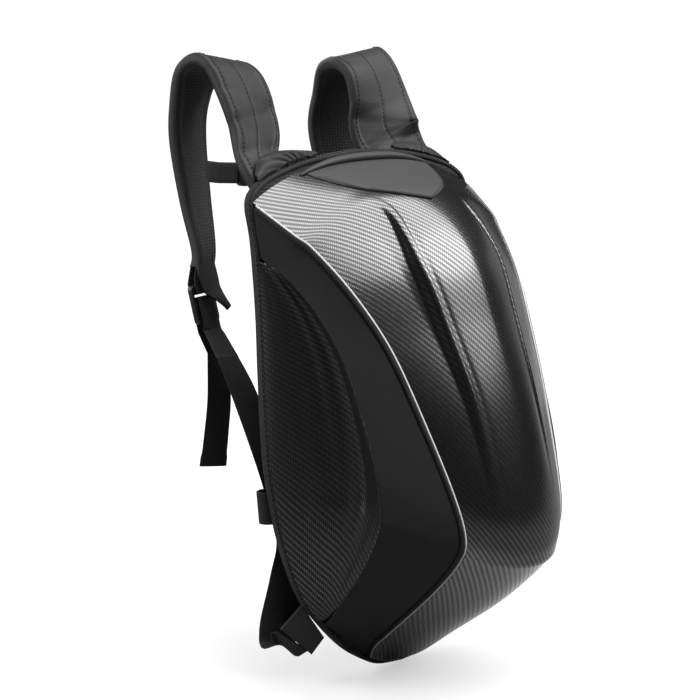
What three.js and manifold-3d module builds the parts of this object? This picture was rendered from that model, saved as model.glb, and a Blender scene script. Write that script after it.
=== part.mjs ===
// Motorcycle backpack with a moulded front shell, standing on its lower end and leaning back.
// Millimetres. +Z is up, -Y is the shell side, +Y the side of the shoulder straps, +X the bag's right
// as it is worn. All tables are written from the lowest point of the back panel; the whole bag is then
// moved so that the origin lies on the floor under the middle of its box.

import * as THREE from 'three';
import { mergeVertices } from 'three/addons/utils/BufferGeometryUtils.js';
import loadManifold from 'manifold-3d';

const wasm = await loadManifold();
wasm.setup();

// Driving dimensions
const backLean = 0.12; // how far the back panel leans back for each millimetre of height
const backThick = 8; // padded back panel
const backBulge = 4; // swell of the back panel towards the wearer
const bindingWide = 3; // tape round the edge of the back panel
const bindingProud = 2; // how far the tape stands out behind the panel
const shellThick = 4; // moulded foam shell with its film
const clothThick = 2; // gussets, side panels
const yokeThick = 2.5;
const patchThick = 1.6;
const pipingRadius = 2;
const rollRadius = 4; // padded roll on the top seam, at its middle
const strapThick = 10;
const webbingWide = 27;
const webbingThick = 1.6;
const sternumWide = 20;
const gap = 0.4; // between pieces that are sewn or laid together
const seamGap = 1.2; // panel edge to the line of the seam beside it
const ridgeRound = 6; // half of the width over which a ridge rises

const alongSteps = 36; // stations from the top edge of the shell to its bottom edge
const acrossSteps = 24; // facets across the shell
const outlineSteps = 26; // facets of half the back panel's outline
const strapSteps = 26; // stations along a shoulder strap
const webbingSteps = 22; // stations along the webbing from its tab to its buckle
const tailSteps = 6; // and along its free tail
const tangentStep = 0.01; // share of a strap's length over which its direction is taken

// The edge of the back panel: half width and height, from the bottom middle to the top middle
const outlineRows = table(['half', 'z'], [
  [0, 0], [28, 0], [46, 9.5], [72, 28], [98, 55], [119, 84], [133, 123], [141.5, 165], [145, 215],
  [142, 282], [138, 340], [137, 400], [139.5, 434], [128, 449], [102, 460], [60, 469], [0, 474],
]);

// Sections of the front from the top edge to the bottom edge. A section runs from the piping seam (seam),
// over the middle of the shell (spine). power shapes the arch, and step lifts the hump inside ridgeX.
// inner is the seam between gusset and side panel. backZ is where the side panel meets the back, and
// hollow is how far the side panel has fallen in.
const sections = table(
  ['seamX', 'seamY', 'seamZ', 'spineY', 'spineZ', 'power', 'ridgeX', 'step', 'innerX', 'innerY', 'innerZ',
    'backZ', 'hollow'], [
    [139, 43.8, 435, 47.5, 466, 2.6, 60, 0, 134.5, 38, 387, 386, 0],
    [129, 2.2, 410, -2, 451, 2.3, 60, 0, 131, 25, 379.5, 378, 1],
    [121.4, -14.2, 398, -40, 435, 2.0, 58, 1.5, 128.5, 7, 369, 366, 4],
    [108, -47.3, 363, -86, 393, 1.6, 51, 6, 125, -24, 342, 338, 10],
    [92.6, -78, 316, -115, 332, 1.5, 46.5, 7, 122.5, -52, 304, 300, 16],
    [81, -106, 257, -142, 265, 1.7, 44, 3, 120.5, -73, 254, 256, 19],
    [69.5, -131.4, 194, -163, 196, 1.9, 44, 0, 118.5, -87.5, 209, 214, 19],
    [63.3, -142, 152.5, -171, 150, 2, 40, 0, 117, -91, 179.5, 190, 17],
    [61.5, -136, 136, -163, 122, 2, 40, 0, 116, -88.7, 162.5, 172, 14],
    [57, -98.5, 98, -121, 80, 2, 40, 0, 112.5, -69.4, 128.5, 140, 9],
    [50, -41, 49, -59, 36, 2.2, 40, 0, 105, -33, 85, 98, 4],
    [46.5, -16, 28, -22, -1, 2.6, 40, 0, 100, -15.2, 67.5, 76, 1],
    [43, -6.7, 14, -8.4, 0, 3.5, 40, 0, 96, -1.7, 56, 57, 0],
  ]);

// Left shoulder strap along its middle line, from where it is sewn to the back panel, over the arch and
// down to its lower end. turn is the angle in plan of its width, in degrees from the X axis, and fall is
// how much lower its inner edge lies for each millimetre of width.
const strapRows = table(['x', 'y', 'z', 'wide', 'turn', 'fall'], [
  [-93, 55.6, 410, 60, 0, 0], [-96, 60, 440, 52, 2, 0], [-101, 78, 466, 46, 4, 0], [-88, 97, 498, 60, 6, 0],
  [-86, 113, 528, 63, 2, 0.06], [-87, 128, 546, 63, 0, 0.16], [-90, 146, 552, 63, 4, 0.16],
  [-93, 166, 541, 63, 13, 0.1], [-95, 176, 513, 62, 20, 0], [-95.5, 178, 480, 60, 22, 0],
  [-97.5, 166.5, 426, 46, 20, 0], [-104, 148.5, 382, 31, 18, 0], [-110, 145, 364, 28, 16, 0],
]);

// The right strap, written as if it were on the left: its root stands further in and is turned more to
// the front, and its lower rows are those of the left strap.
const rightStrapRows = [...table(['x', 'y', 'z', 'wide', 'turn', 'fall'], [
  [-92, 55.6, 410, 62, 0, 0], [-91, 60, 440, 62, 2, 0], [-84, 84, 468, 66, 16, 0], [-81, 96, 486, 68, 38, 0],
  [-85, 107, 512, 64, 16, 0.02], [-86, 121, 540, 63, 3, 0.12], [-88, 142, 552, 63, 6, 0.16],
  [-93, 160, 543, 63, 18, 0.1], [-97, 171, 516, 61, 22, 0], [-96.5, 177, 480, 60, 22, 0],
]), ...strapRows.slice(10)];

// Left adjuster webbing below its buckle, from the anchor tab over the fold near the floor and up behind
// the bag, where it narrows. widthX to widthZ is the direction of its width.
const webbingRows = table(['x', 'y', 'z', 'wide', 'widthX', 'widthY', 'widthZ'], [
  [-115.6, 18.6, 40, 38, 0.76, -0.08, -0.65], [-116.8, 25.5, 36.5, 38, 0.72, -0.33, -0.58],
  [-117.5, 30.5, 34.2, 38, 0.68, -0.53, -0.5], [-117.6, 33.2, 35.8, 38, 0.68, -0.55, -0.48],
  [-117.4, 34.6, 40, 38, 0.7, -0.53, -0.46], [-115.5, 35, 57, 38, 0.8, -0.42, -0.38],
  [-110, 33, 96, 34, 0.95, -0.25, -0.12], [-104.5, 34.5, 133, 30, 0.98, -0.12, 0],
  [-112, 49, 187, 27, 0.99, -0.08, 0], [-114.5, 80, 253, 27, 0.98, -0.16, 0],
  [-116, 103, 289, 27, 0.98, 0.12, 0],
]);

// The free tail of the webbing below the buckle, with the same columns
const tailRows = table(['x', 'y', 'z', 'wide', 'widthX', 'widthY', 'widthZ'], [
  [-110, 125, 291, 27, 0.98, 0.2, 0], [-110, 122, 250, 27, 1, -0.06, 0],
  [-112, 124, 215, 27, 0.99, -0.14, 0], [-115, 126, 184, 27, 0.98, -0.2, 0],
]);

// Ladder-lock buckle
const buckle = { wide: 36, tall: 36, thick: 5, slotWide: 30, slotTall: 8, bar: 6, corner: 3 };
const bucklePlace = new THREE.Vector3(-113.5, 138, 334.5);
const buckleTurn = THREE.MathUtils.degToRad(16); // about the vertical, as the strap's end is turned
const buckleTilt = THREE.MathUtils.degToRad(-14); // its upper end leans back

// Chest strap: place is where its webbing lies along the shoulder strap, onStrap its ends there as shares of
// the strap's width, past how far it runs straight on, and sag how much lower the buckle hangs
const sternum = {
  place: 0.795, onStrap: 0.25, past: 3, sag: 7, buckleY: 192, buckleWide: 44, buckleTall: 26, buckleThick: 8, edge: 4,
};

// Loops low on the back edge and tabs at the lower corners
const sideLoop = { x: -133, z: 166, tall: 28, halfLong: 11, halfDeep: 8 };
const anchorTab = {
  sewn: [[-113, 75], [-89, 41.5]], // x and z of the sewn edge on the back panel
  end: [[-132, 18.7, 55.5], [-98, 15, 26]], // its free edge
  thick: 3,
};

// Shield-shaped patch in plan: its point at the front, its straight edge along the roll. nose and cheek
// draw the curve of its side.
const patch = { half: 75, rearY: 36, pointY: -40, noseX: 26, noseY: -33, cheekX: 61, cheekY: -8 };

// Left yoke, from the outer corner to the middle: the top of its wall over the edge of the back panel
const yokeRows = table(['x', 'topY', 'topZ'], [
  [-122, 58, 458], [-108, 69, 470], [-90, 73, 475], [-68, 71, 476], [-50, 58, 475],
]);

// Rows of a table as objects with named columns
function table(columns, rows) {
  return rows.map((row) => Object.fromEntries(columns.map((name, i) => [name, row[i]])));
}

// A smooth value of one column, at t from 0 in the first row to 1 in the last
function valueAt(rows, name, t) {
  const last = rows.length - 1;
  const place = THREE.MathUtils.clamp(t, 0, 1) * last;
  const row = Math.min(Math.floor(place), last - 1);
  const near = [row - 1, row, row + 1, row + 2].map((k) => rows[THREE.MathUtils.clamp(k, 0, last)][name]);
  const [a, b, c, d] = near;
  const f = place - row;
  return b + 0.5 * f * (c - a + f * (2 * a - 5 * b + 4 * c - d + f * (3 * (b - c) + d - a)));
}

function pointAt(rows, names, t) {
  return new THREE.Vector3(...names.map((name) => valueAt(rows, name, t)));
}

// A closed body from corner points and triangles
function body(points, triangles) {
  const geometry = new THREE.BufferGeometry();
  geometry.setAttribute('position', new THREE.Float32BufferAttribute(points.flatMap((p) => p.toArray()), 3));
  geometry.setIndex(triangles);
  return geometry;
}

// The outward direction at each point of a grid of points
function gridNormals(grid) {
  const rows = grid.length - 1;
  const columns = grid[0].length - 1;
  return grid.map((line, i) => line.map((_, j) => {
    const down = grid[Math.min(i + 1, rows)][j].clone().sub(grid[Math.max(i - 1, 0)][j]);
    const over = line[Math.min(j + 1, columns)].clone().sub(line[Math.max(j - 1, 0)]);
    return over.cross(down).normalize().negate();
  }));
}

// A wall between two offsets of a grid of points, with a rim round its edge. place may move its points.
function wall(grid, outer, inner, place = (p) => p) {
  const rows = grid.length;
  const columns = grid[0].length;
  const normals = gridNormals(grid);
  const sides = [outer, inner].map((offset) => grid.flatMap((line, i) =>
    line.map((p, j) => place(p.clone().addScaledVector(normals[i][j], offset)))));
  const count = rows * columns;
  const triangles = [];
  for (let i = 0; i < rows - 1; i++) {
    for (let j = 0; j < columns - 1; j++) {
      const [a, b, c, d] = [i * columns + j, i * columns + j + 1, (i + 1) * columns + j + 1, (i + 1) * columns + j];
      triangles.push(a, c, b, a, d, c);
      triangles.push(count + a, count + b, count + c, count + a, count + c, count + d);
    }
  }
  const rim = [];
  for (let j = 0; j < columns - 1; j++) rim.push(j);
  for (let i = 0; i < rows - 1; i++) rim.push(i * columns + columns - 1);
  for (let j = columns - 1; j > 0; j--) rim.push((rows - 1) * columns + j);
  for (let i = rows - 1; i > 0; i--) rim.push(i * columns);
  rim.forEach((a, k) => {
    const b = rim[(k + 1) % rim.length];
    triangles.push(a, b, count + b, a, count + b, count + a);
  });
  return body(sides.flat(), triangles);
}

// A body lofted through rings of points, with flat ends or closed on itself
function loft(rings, closed = false) {
  const size = rings[0].length;
  const triangles = [];
  const spans = closed ? rings.length : rings.length - 1;
  for (let i = 0; i < spans; i++) {
    const next = (i + 1) % rings.length;
    for (let j = 0; j < size; j++) {
      const k = (j + 1) % size;
      const [a, b, c, d] = [i * size + j, i * size + k, next * size + k, next * size + j];
      triangles.push(a, b, c, a, c, d);
    }
  }
  const end = (rings.length - 1) * size;
  for (let j = 1; j < size - 1 && !closed; j++) {
    triangles.push(0, j + 1, j, end, end + j, end + j + 1);
  }
  return body(rings.flat(), triangles);
}

// The mirror image of a piece on the other side of the bag
function mirrored(geometry) {
  const copy = geometry.clone().applyMatrix4(new THREE.Matrix4().makeScale(-1, 1, 1));
  const index = copy.index.array;
  for (let k = 0; k < index.length; k += 3) {
    [index[k], index[k + 1]] = [index[k + 1], index[k]];
  }
  return copy;
}

// A piece as a solid for joining and cutting, and back
function toSolid(geometry) {
  const bare = geometry.clone();
  bare.deleteAttribute('normal');
  bare.deleteAttribute('uv');
  const merged = mergeVertices(bare, 1e-4);
  return new wasm.Manifold(new wasm.Mesh({
    numProp: 3,
    vertProperties: new Float32Array(merged.attributes.position.array),
    triVerts: new Uint32Array(merged.index.array),
  }));
}

function toGeometry(solid) {
  const mesh = solid.getMesh();
  const geometry = new THREE.BufferGeometry();
  geometry.setAttribute('position', new THREE.BufferAttribute(new Float32Array(mesh.vertProperties), 3));
  geometry.setIndex([...mesh.triVerts]);
  return geometry;
}

// A point of the back panel's plane, moved towards the shell by depth
function onBack(x, z, depth) {
  return new THREE.Vector3(x, backLean * z - depth, z);
}

// A point kept in front of the back panel
function aheadOfBack(p) {
  return p.setY(Math.min(p.y, onBack(p.x, p.z, backThick + gap).y));
}

// The edge of the back panel, all round, in plan of the panel
const halfOutline = new THREE.SplineCurve(outlineRows.map((row) => new THREE.Vector2(-row.half, row.z)))
  .getPoints(outlineSteps * 4).map((p) => p.setY(Math.max(p.y, 0)));

function outlineRing(inset) {
  const half = new THREE.SplineCurve(halfOutline).getSpacedPoints(outlineSteps);
  const otherHalf = half.slice(1, -1).reverse().map((p) => new THREE.Vector2(-p.x, p.y));
  const ring = [...half, ...otherHalf];
  return ring.map((p, i) => {
    const run = ring[(i + 1) % ring.length].clone().sub(ring[(i + ring.length - 1) % ring.length]).normalize();
    return new THREE.Vector2(p.x + run.y * inset, p.y - run.x * inset);
  });
}

// Half the width of the back panel at a height on its side
function backHalf(z) {
  const i = halfOutline.findIndex((p) => p.y > z);
  const [low, high] = [halfOutline[i - 1], halfOutline[i]];
  return -THREE.MathUtils.mapLinear(z, low.y, high.y, low.x, high.x);
}

// A point of the shell: t runs from the top edge to the bottom edge, q from the left seam to the right
function shellPoint(t, q) {
  const at = (name) => valueAt(sections, name, t);
  const rise = new THREE.Vector2(at('spineY') - at('seamY'), at('spineZ') - at('seamZ'));
  const step = at('step') / rise.length();
  const x = q * at('seamX');
  const hump = 1 - THREE.MathUtils.smoothstep(Math.abs(x), at('ridgeX') - ridgeRound, at('ridgeX') + ridgeRound);
  const share = (1 - Math.abs(q) ** at('power')) * (1 - step) + step * hump;
  return new THREE.Vector3(x, at('seamY') + rise.x * share, Math.max(at('seamZ') + rise.y * share, 0));
}

function stations(count, from = 0, to = 1) {
  return Array.from({ length: count + 1 }, (_, i) => from + (to - from) * i / count);
}

const shellGrid = stations(alongSteps).map((t) => {
  const edge = 1 - pipingRadius / valueAt(sections, 'seamX', t);
  return stations(acrossSteps, -edge, edge).map((q) => shellPoint(t, q));
});

function leftSeam(t) {
  return pointAt(sections, ['seamX', 'seamY', 'seamZ'], t).multiply(new THREE.Vector3(-1, 1, 1));
}

function leftInner(t) {
  return pointAt(sections, ['innerX', 'innerY', 'innerZ'], t).multiply(new THREE.Vector3(-1, 1, 1));
}

function leftBackEdge(t) {
  const z = valueAt(sections, 'backZ', t);
  return onBack(-backHalf(z), z, backThick + gap);
}

// A point on the way from a to b, a set distance short of each end
function between(a, b, share, clearA, clearB) {
  const long = a.distanceTo(b);
  return a.clone().lerp(b, (clearA + share * (long - clearA - clearB)) / long);
}

// Smooth band between the side panel and the piping, a little full in the middle
function gussetGeometry() {
  const puff = 3;
  const cordRoom = pipingRadius * 1.75; // from the line of the piping to the band's edge
  const shares = [0, 0.5, 1];
  const grid = stations(alongSteps).map((t) => shares.map((s) => {
    const p = between(leftInner(t), leftSeam(t), s, seamGap, cordRoom);
    return p.add(new THREE.Vector3(-puff, -puff, 0).multiplyScalar(s * (1 - s) * Math.sin(Math.PI * t)));
  }));
  return wall(grid, 0, -clothThick, aheadOfBack);
}

// Side panel between the back edge and the inner seam, fallen in along a valley
function sidePanelGeometry() {
  const shares = stations(6);
  const ends = 0.03; // its points stop short of the band's ends
  const valley = 1.3; // above 1 the valley is narrower than a half wave
  const grid = stations(alongSteps, ends, 1 - ends).map((t) => shares.map((s) => {
    const p = between(leftBackEdge(t), leftInner(t), s, 0, seamGap);
    p.x += valueAt(sections, 'hollow', t) * Math.sin(Math.PI * s) ** valley;
    return p;
  }));
  return wall(grid, 0, -clothThick, aheadOfBack);
}

// Round cord along the edge of the shell
function pipingGeometry() {
  const sides = 6;
  const ends = 0.025; // the cord stops short of the binding
  const points = stations(alongSteps).slice(1, -1).map((t) => leftSeam(THREE.MathUtils.clamp(t, ends, 1 - ends)));
  return loft(tubeRings(points, () => pipingRadius, sides));
}

// Round rings along a line of points
function tubeRings(points, radiusAt, sides) {
  const count = points.length;
  return points.map((p, i) => {
    const run = points[Math.min(i + 1, count - 1)].clone().sub(points[Math.max(i - 1, 0)]).normalize();
    const side = new THREE.Vector3(0, 0, 1).cross(run).normalize();
    const up = run.clone().cross(side);
    const radius = radiusAt(i / (count - 1));
    return stations(sides - 1).map((_, k) => p.clone()
      .addScaledVector(side, radius * Math.cos(2 * Math.PI * k / sides))
      .addScaledVector(up, radius * Math.sin(2 * Math.PI * k / sides)));
  });
}

// Padded roll lying along the top seam, thinner at its ends
function rollGeometry() {
  const reach = 0.56; // share of the top edge's half width
  const place = 0.014; // just in front of the top edge
  const thinEnd = 0.4; // share of the middle's radius at its ends
  const [steps, sides] = [18, 8];
  const radiusAt = (s) => rollRadius * (thinEnd + (1 - thinEnd) * Math.sin(Math.PI * s));
  const points = stations(steps).map((s) => {
    const p = shellPoint(place, reach * (2 * s - 1));
    p.z += radiusAt(s) + 2 * gap;
    return p;
  });
  return loft(tubeRings(points, radiusAt, sides));
}

// Patch cut out of a thin skin that follows the shell
function patchGeometry() {
  const { half, rearY, pointY, noseX, noseY, cheekX, cheekY } = patch;
  const [low, tall] = [400, 120]; // heights between which the skin is cut
  const shape = new THREE.Shape();
  shape.moveTo(0, pointY);
  shape.bezierCurveTo(noseX, noseY, cheekX, cheekY, half, rearY);
  shape.lineTo(-half, rearY);
  shape.bezierCurveTo(-cheekX, cheekY, -noseX, noseY, 0, pointY);
  const column = new THREE.ExtrudeGeometry(shape, { depth: tall, bevelEnabled: false, curveSegments: 8 });
  column.translate(0, 0, low);
  const skin = wall(shellGrid, gap + patchThick, gap);
  return toGeometry(toSolid(skin).intersect(toSolid(column)));
}

// Padded back panel: flat to its edge tape, swelling towards the wearer in steps from its edge to its middle
function backPanelGeometry() {
  const ring = outlineRing(bindingWide + gap);
  const middle = new THREE.Vector2(0, 235);
  const levels = table(['share', 'depth'], [
    [1, backThick], [1, 0], [0.82, 0], [0.72, -backBulge * 0.7], [0.4, -backBulge],
  ]);
  const rings = levels.map(({ share, depth }) => ring.map((p) => {
    const q = middle.clone().lerp(p, share);
    return onBack(q.x, q.y, depth);
  }));
  const size = ring.length;
  const points = [...rings.flat(), onBack(middle.x, middle.y, backThick), onBack(middle.x, middle.y, -backBulge)];
  const [frontMiddle, rearMiddle] = [points.length - 2, points.length - 1];
  const triangles = [];
  for (let j = 0; j < size; j++) {
    const k = (j + 1) % size;
    for (let i = 0; i < levels.length - 1; i++) {
      const [a, b, c, d] = [i * size + j, i * size + k, (i + 1) * size + k, (i + 1) * size + j];
      triangles.push(a, b, c, a, c, d);
    }
    const lastRing = (levels.length - 1) * size;
    triangles.push(frontMiddle, k, j, rearMiddle, lastRing + j, lastRing + k);
  }
  return body(points, triangles);
}

// Tape round the edge of the back panel
function bindingGeometry() {
  const [outer, inner] = [outlineRing(0), outlineRing(bindingWide)];
  return loft(outer.map((p, i) => [
    onBack(p.x, p.y, -bindingProud), onBack(p.x, p.y, backThick),
    onBack(inner[i].x, inner[i].y, backThick), onBack(inner[i].x, inner[i].y, -bindingProud),
  ]), true);
}

// Height of the top edge of the back panel over its bottom, above a place on its upper side
function topEdge(x) {
  const shoulderZ = 440; // the upper side begins above this height
  const upper = halfOutline.slice(halfOutline.findIndex((p) => p.y > shoulderZ));
  const i = Math.max(upper.findIndex((p) => p.x > x), 1);
  return THREE.MathUtils.mapLinear(x, upper[i - 1].x, upper[i].x, upper[i - 1].y, upper[i].y);
}

// Cloth from the top edge of the back panel up to the front of the strap
function yokeGeometry() {
  const shares = stations(3);
  const footDepth = backThick * 0.6; // its foot stands over the edge tape
  const grid = stations(yokeRows.length * 2).map((t) => {
    const top = pointAt(yokeRows, ['x', 'topY', 'topZ'], t);
    const foot = onBack(top.x, topEdge(top.x) + yokeThick + gap, footDepth);
    return shares.map((s) => foot.clone().lerp(top, s));
  });
  return wall(grid, 0, -yokeThick);
}

// Flat or padded band along a line: each row gives its middle and the direction of its width
function bandRings(places, wide, thick, section) {
  const count = places.length;
  return places.map(({ p, across, width = wide }, i) => {
    const run = places[Math.min(i + 1, count - 1)].p.clone().sub(places[Math.max(i - 1, 0)].p).normalize();
    const side = across.clone().addScaledVector(run, -across.dot(run)).normalize();
    const face = run.clone().cross(side);
    return section.map(([u, v]) => p.clone().addScaledVector(side, u * width / 2).addScaledVector(face, v * thick / 2));
  });
}

const flatSection = [[-1, -1], [1, -1], [1, 1], [-1, 1]];
const strapCrown = 1.06; // a strap's middle is a little thicker than its sides
const [edgeU, edgeV] = [0.9, 0.45]; // where its rounded edges begin, and how thick they are
const paddedHalf = [[-1, -edgeV], [-edgeU, -1], [0, -strapCrown], [edgeU, -1], [1, -edgeV]];
const paddedSection = [...paddedHalf, ...paddedHalf.map(([u, v]) => [-u, -v])];

function strapPlace(t, rows = strapRows) {
  const turn = THREE.MathUtils.degToRad(valueAt(rows, 'turn', t));
  return {
    p: pointAt(rows, ['x', 'y', 'z'], t),
    across: new THREE.Vector3(Math.cos(turn), Math.sin(turn), -valueAt(rows, 'fall', t)).normalize(),
    width: valueAt(rows, 'wide', t),
  };
}

function strapGeometry(rows) {
  const places = stations(strapSteps).map((t) => strapPlace(t, rows));
  return loft(bandRings(places, 0, strapThick, paddedSection));
}

// A point given in the buckle's own frame: x along its width, y through it towards the strap side, z up
const buckleFrame = new THREE.Matrix4().compose(
  bucklePlace,
  new THREE.Quaternion().setFromEuler(new THREE.Euler(buckleTilt, 0, buckleTurn, 'ZXY')),
  new THREE.Vector3(1, 1, 1),
);

function inBuckle(x, y, z) {
  return new THREE.Vector3(x, y, z).applyMatrix4(buckleFrame);
}

function roundedRectangle(shape, wide, tall, corner) {
  const [x, y] = [wide / 2, tall / 2];
  shape.moveTo(-x + corner, -y);
  shape.lineTo(x - corner, -y);
  shape.lineTo(x, -y + corner);
  shape.lineTo(x, y - corner);
  shape.lineTo(x - corner, y);
  shape.lineTo(-x + corner, y);
  shape.lineTo(-x, y - corner);
  shape.lineTo(-x, -y + corner);
  shape.closePath();
  return shape;
}

const slotMiddle = (buckle.tall / 2 - buckle.bar + buckle.tall / 2 - buckle.bar - buckle.slotTall) / 2;

// Frame with two slots
function buckleGeometry() {
  const frame = roundedRectangle(new THREE.Shape(), buckle.wide, buckle.tall, buckle.corner);
  for (const middle of [slotMiddle, -slotMiddle]) {
    const slot = new THREE.Path();
    const [x, low, high] = [buckle.slotWide / 2, middle - buckle.slotTall / 2, middle + buckle.slotTall / 2];
    slot.moveTo(-x, low);
    slot.lineTo(-x, high);
    slot.lineTo(x, high);
    slot.lineTo(x, low);
    slot.closePath();
    frame.holes.push(slot);
  }
  const plate = new THREE.ExtrudeGeometry(frame, { depth: buckle.thick, bevelEnabled: false });
  plate.translate(0, 0, -buckle.thick / 2);
  plate.rotateX(Math.PI / 2);
  return toGeometry(toSolid(plate.applyMatrix4(buckleFrame)));
}

const buckleAcross = inBuckle(1, 0, 0).sub(bucklePlace);
const webbingClear = buckle.thick / 2 + gap + webbingThick / 2; // webbing's middle to the buckle's middle

// The way round a bar of the buckle, from the bag's side to the strap's side: level is the height of the
// bar's edge, and up is 1 over its top or -1 under its bottom
function overBar(level, up) {
  const round = webbingClear - buckle.thick / 2;
  const corner = [[1, 0], [Math.SQRT1_2, Math.SQRT1_2], [0, 1]];
  const half = corner.map(([y, z]) => [-buckle.thick / 2 - y * round, level + up * z * round]);
  const otherHalf = half.map(([y, z]) => [-y, z]).reverse();
  return [...half, ...otherHalf].map(([y, z]) => inBuckle(0, y, z));
}

// Webbing from the tab to the buckle, round its middle bar, and the free tail
function webbingGeometry() {
  const smooth = (rows, count) => stations(count).map((t) => ({
    p: pointAt(rows, ['x', 'y', 'z'], t),
    across: pointAt(rows, ['widthX', 'widthY', 'widthZ'], t),
    width: valueAt(rows, 'wide', t),
  }));
  const lowBar = -buckle.tall / 2;
  const straight = lowBar - buckle.bar; // the webbing runs straight for a bar's height below the buckle
  const run = [straight, lowBar].map((z) => inBuckle(0, -webbingClear, z));
  const back = [lowBar, straight].map((z) => inBuckle(0, webbingClear, z));
  const roundBar = [...run, ...overBar(slotMiddle - buckle.slotTall / 2, 1), ...back]
    .map((p) => ({ p, across: buckleAcross }));
  const line = [...smooth(webbingRows, webbingSteps), ...roundBar, ...smooth(tailRows, tailSteps)];
  return loft(bandRings(line, webbingWide, webbingThick, flatSection));
}

// Loop of webbing from the end of the strap round the buckle's upper bar
function strapLoopGeometry() {
  const end = strapPlace(1).p;
  const run = end.clone().sub(strapPlace(1 - tangentStep).p).normalize();
  const face = run.clone().cross(buckleAcross).normalize();
  const apart = strapThick * 0.3; // its two ends, from the middle of the strap
  const [near, far] = [1, -1].map((side) => end.clone().addScaledVector(run, 6 * gap)
    .addScaledVector(face, side * apart));
  const aboveBar = [-1, 1].map((side) => inBuckle(0, side * webbingClear, buckle.tall / 2 + gap));
  const line = [near, aboveBar[0], ...overBar(buckle.tall / 2 - buckle.bar, -1), aboveBar[1], far];
  return loft(bandRings(line.map((p) => ({ p, across: buckleAcross })), webbingWide, webbingThick, flatSection));
}

// Tab sewn to the back panel, which carries the lower end of the webbing
function anchorTabGeometry() {
  const { sewn, end, thick } = anchorTab;
  const grid = sewn.map(([x, z], i) => [onBack(x, z, -bindingProud - gap), new THREE.Vector3(...end[i])]);
  return wall(grid, 0, -thick);
}

// Webbing of the chest strap on the outer face of the shoulder strap, and from there to its buckle
function sternumGeometry() {
  const { place, onStrap, past, sag, buckleWide, buckleY } = sternum;
  const { p, across, width } = strapPlace(place);
  const up = strapPlace(place - tangentStep).p.sub(strapPlace(place + tangentStep).p).normalize();
  const outward = up.clone().cross(across).normalize();
  const clear = strapThick / 2 * strapCrown + gap + webbingThick / 2;
  const sewn = [-width * onStrap, width * onStrap, width / 2 + past].map((s) => ({
    p: p.clone().addScaledVector(across, s).addScaledVector(outward, clear),
    across: up,
  }));
  const upright = new THREE.Vector3(0, 0, 1);
  const end = new THREE.Vector3(-buckleWide / 2 - 3 * gap, buckleY, p.z - sag);
  const half = sewn[2].p.clone().lerp(end, 0.5).add(new THREE.Vector3(0, 1, -1));
  const line = [...sewn, { p: half, across: upright }, { p: end, across: upright }];
  return loft(bandRings(line, sternumWide, webbingThick, flatSection));
}

// Fastened buckle of the chest strap
function sternumBuckleGeometry() {
  const { place, buckleWide, buckleTall, buckleThick, buckleY, edge, sag } = sternum;
  const shape = roundedRectangle(new THREE.Shape(), buckleWide, buckleTall, edge);
  const plate = new THREE.ExtrudeGeometry(shape, { depth: buckleThick, bevelEnabled: false });
  plate.translate(0, 0, -buckleThick / 2);
  plate.rotateX(Math.PI / 2);
  plate.translate(0, buckleY, strapPlace(place).p.z - sag);
  return toGeometry(toSolid(plate));
}

// Upright loop of webbing whose front lies on the back panel
function sideLoopGeometry() {
  const { x, z, tall, halfLong, halfDeep } = sideLoop;
  const sides = 12;
  const rings = stations(sides - 1).map((_, k) => {
    const angle = 2 * Math.PI * k / sides;
    const corner = (grow, height) => {
      const level = z + height * tall / 2;
      const p = onBack(x + (halfLong + grow) * Math.cos(angle), level, 0);
      p.y += bindingProud - gap + halfDeep + webbingThick / 2 + (halfDeep + grow) * Math.sin(angle);
      return p;
    };
    const half = webbingThick / 2;
    return [corner(-half, -1), corner(-half, 1), corner(half, 1), corner(half, -1)];
  });
  return loft(rings, true);
}

// Looks of the pieces
function material(colour, roughness, metalness = 0) {
  return new THREE.MeshStandardMaterial({ color: colour, roughness, metalness });
}

const filmBlack = material(0x1b1b1d, 0.25);
const patchGrey = material(0x6a6a6d, 0.6);
const bandBlack = material(0x2b2b2d, 0.6);
const clothBlack = material(0x222224, 0.8);
const meshBlack = material(0x2a2a2c, 0.9);
const webbingBlack = material(0x1c1c1e, 0.75);
const plasticBlack = material(0x151516, 0.45);
const reflective = material(0xc9cbcc, 0.35);

const bag = new THREE.Group();

function piece(name, geometry, look) {
  const mesh = new THREE.Mesh(geometry, look);
  mesh.name = name;
  bag.add(mesh);
}

function pair(name, geometry, look) {
  piece(`${name}_left`, geometry, look);
  piece(`${name}_right`, mirrored(geometry), look);
}

piece('shell', wall(shellGrid, 0, -shellThick, aheadOfBack), filmBlack);
piece('top_patch', patchGeometry(), patchGrey);
piece('top_roll', rollGeometry(), bandBlack);
pair('piping', pipingGeometry(), reflective);
pair('gusset', gussetGeometry(), bandBlack);
pair('side_panel', sidePanelGeometry(), clothBlack);
piece('back_panel', backPanelGeometry(), meshBlack);
piece('back_binding', bindingGeometry(), webbingBlack);
pair('yoke', yokeGeometry(), meshBlack);
piece('shoulder_strap_left', strapGeometry(strapRows), clothBlack);
piece('shoulder_strap_right', mirrored(strapGeometry(rightStrapRows)), clothBlack);
pair('strap_loop', strapLoopGeometry(), webbingBlack);
pair('buckle', buckleGeometry(), plasticBlack);
pair('adjuster_webbing', webbingGeometry(), webbingBlack);
pair('anchor_tab', anchorTabGeometry(), clothBlack);
pair('sternum_webbing', sternumGeometry(), webbingBlack);
piece('sternum_buckle', sternumBuckleGeometry(), plasticBlack);
pair('side_loop', sideLoopGeometry(), webbingBlack);

const box = new THREE.Box3().setFromObject(bag);
bag.position.set(-(box.min.x + box.max.x) / 2, -(box.min.y + box.max.y) / 2, -box.min.z);

const backpack = new THREE.Group();
backpack.add(bag);

export default backpack;
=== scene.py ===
import math

import bmesh
import bpy
import numpy as np
from mathutils import Matrix, Vector


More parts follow.
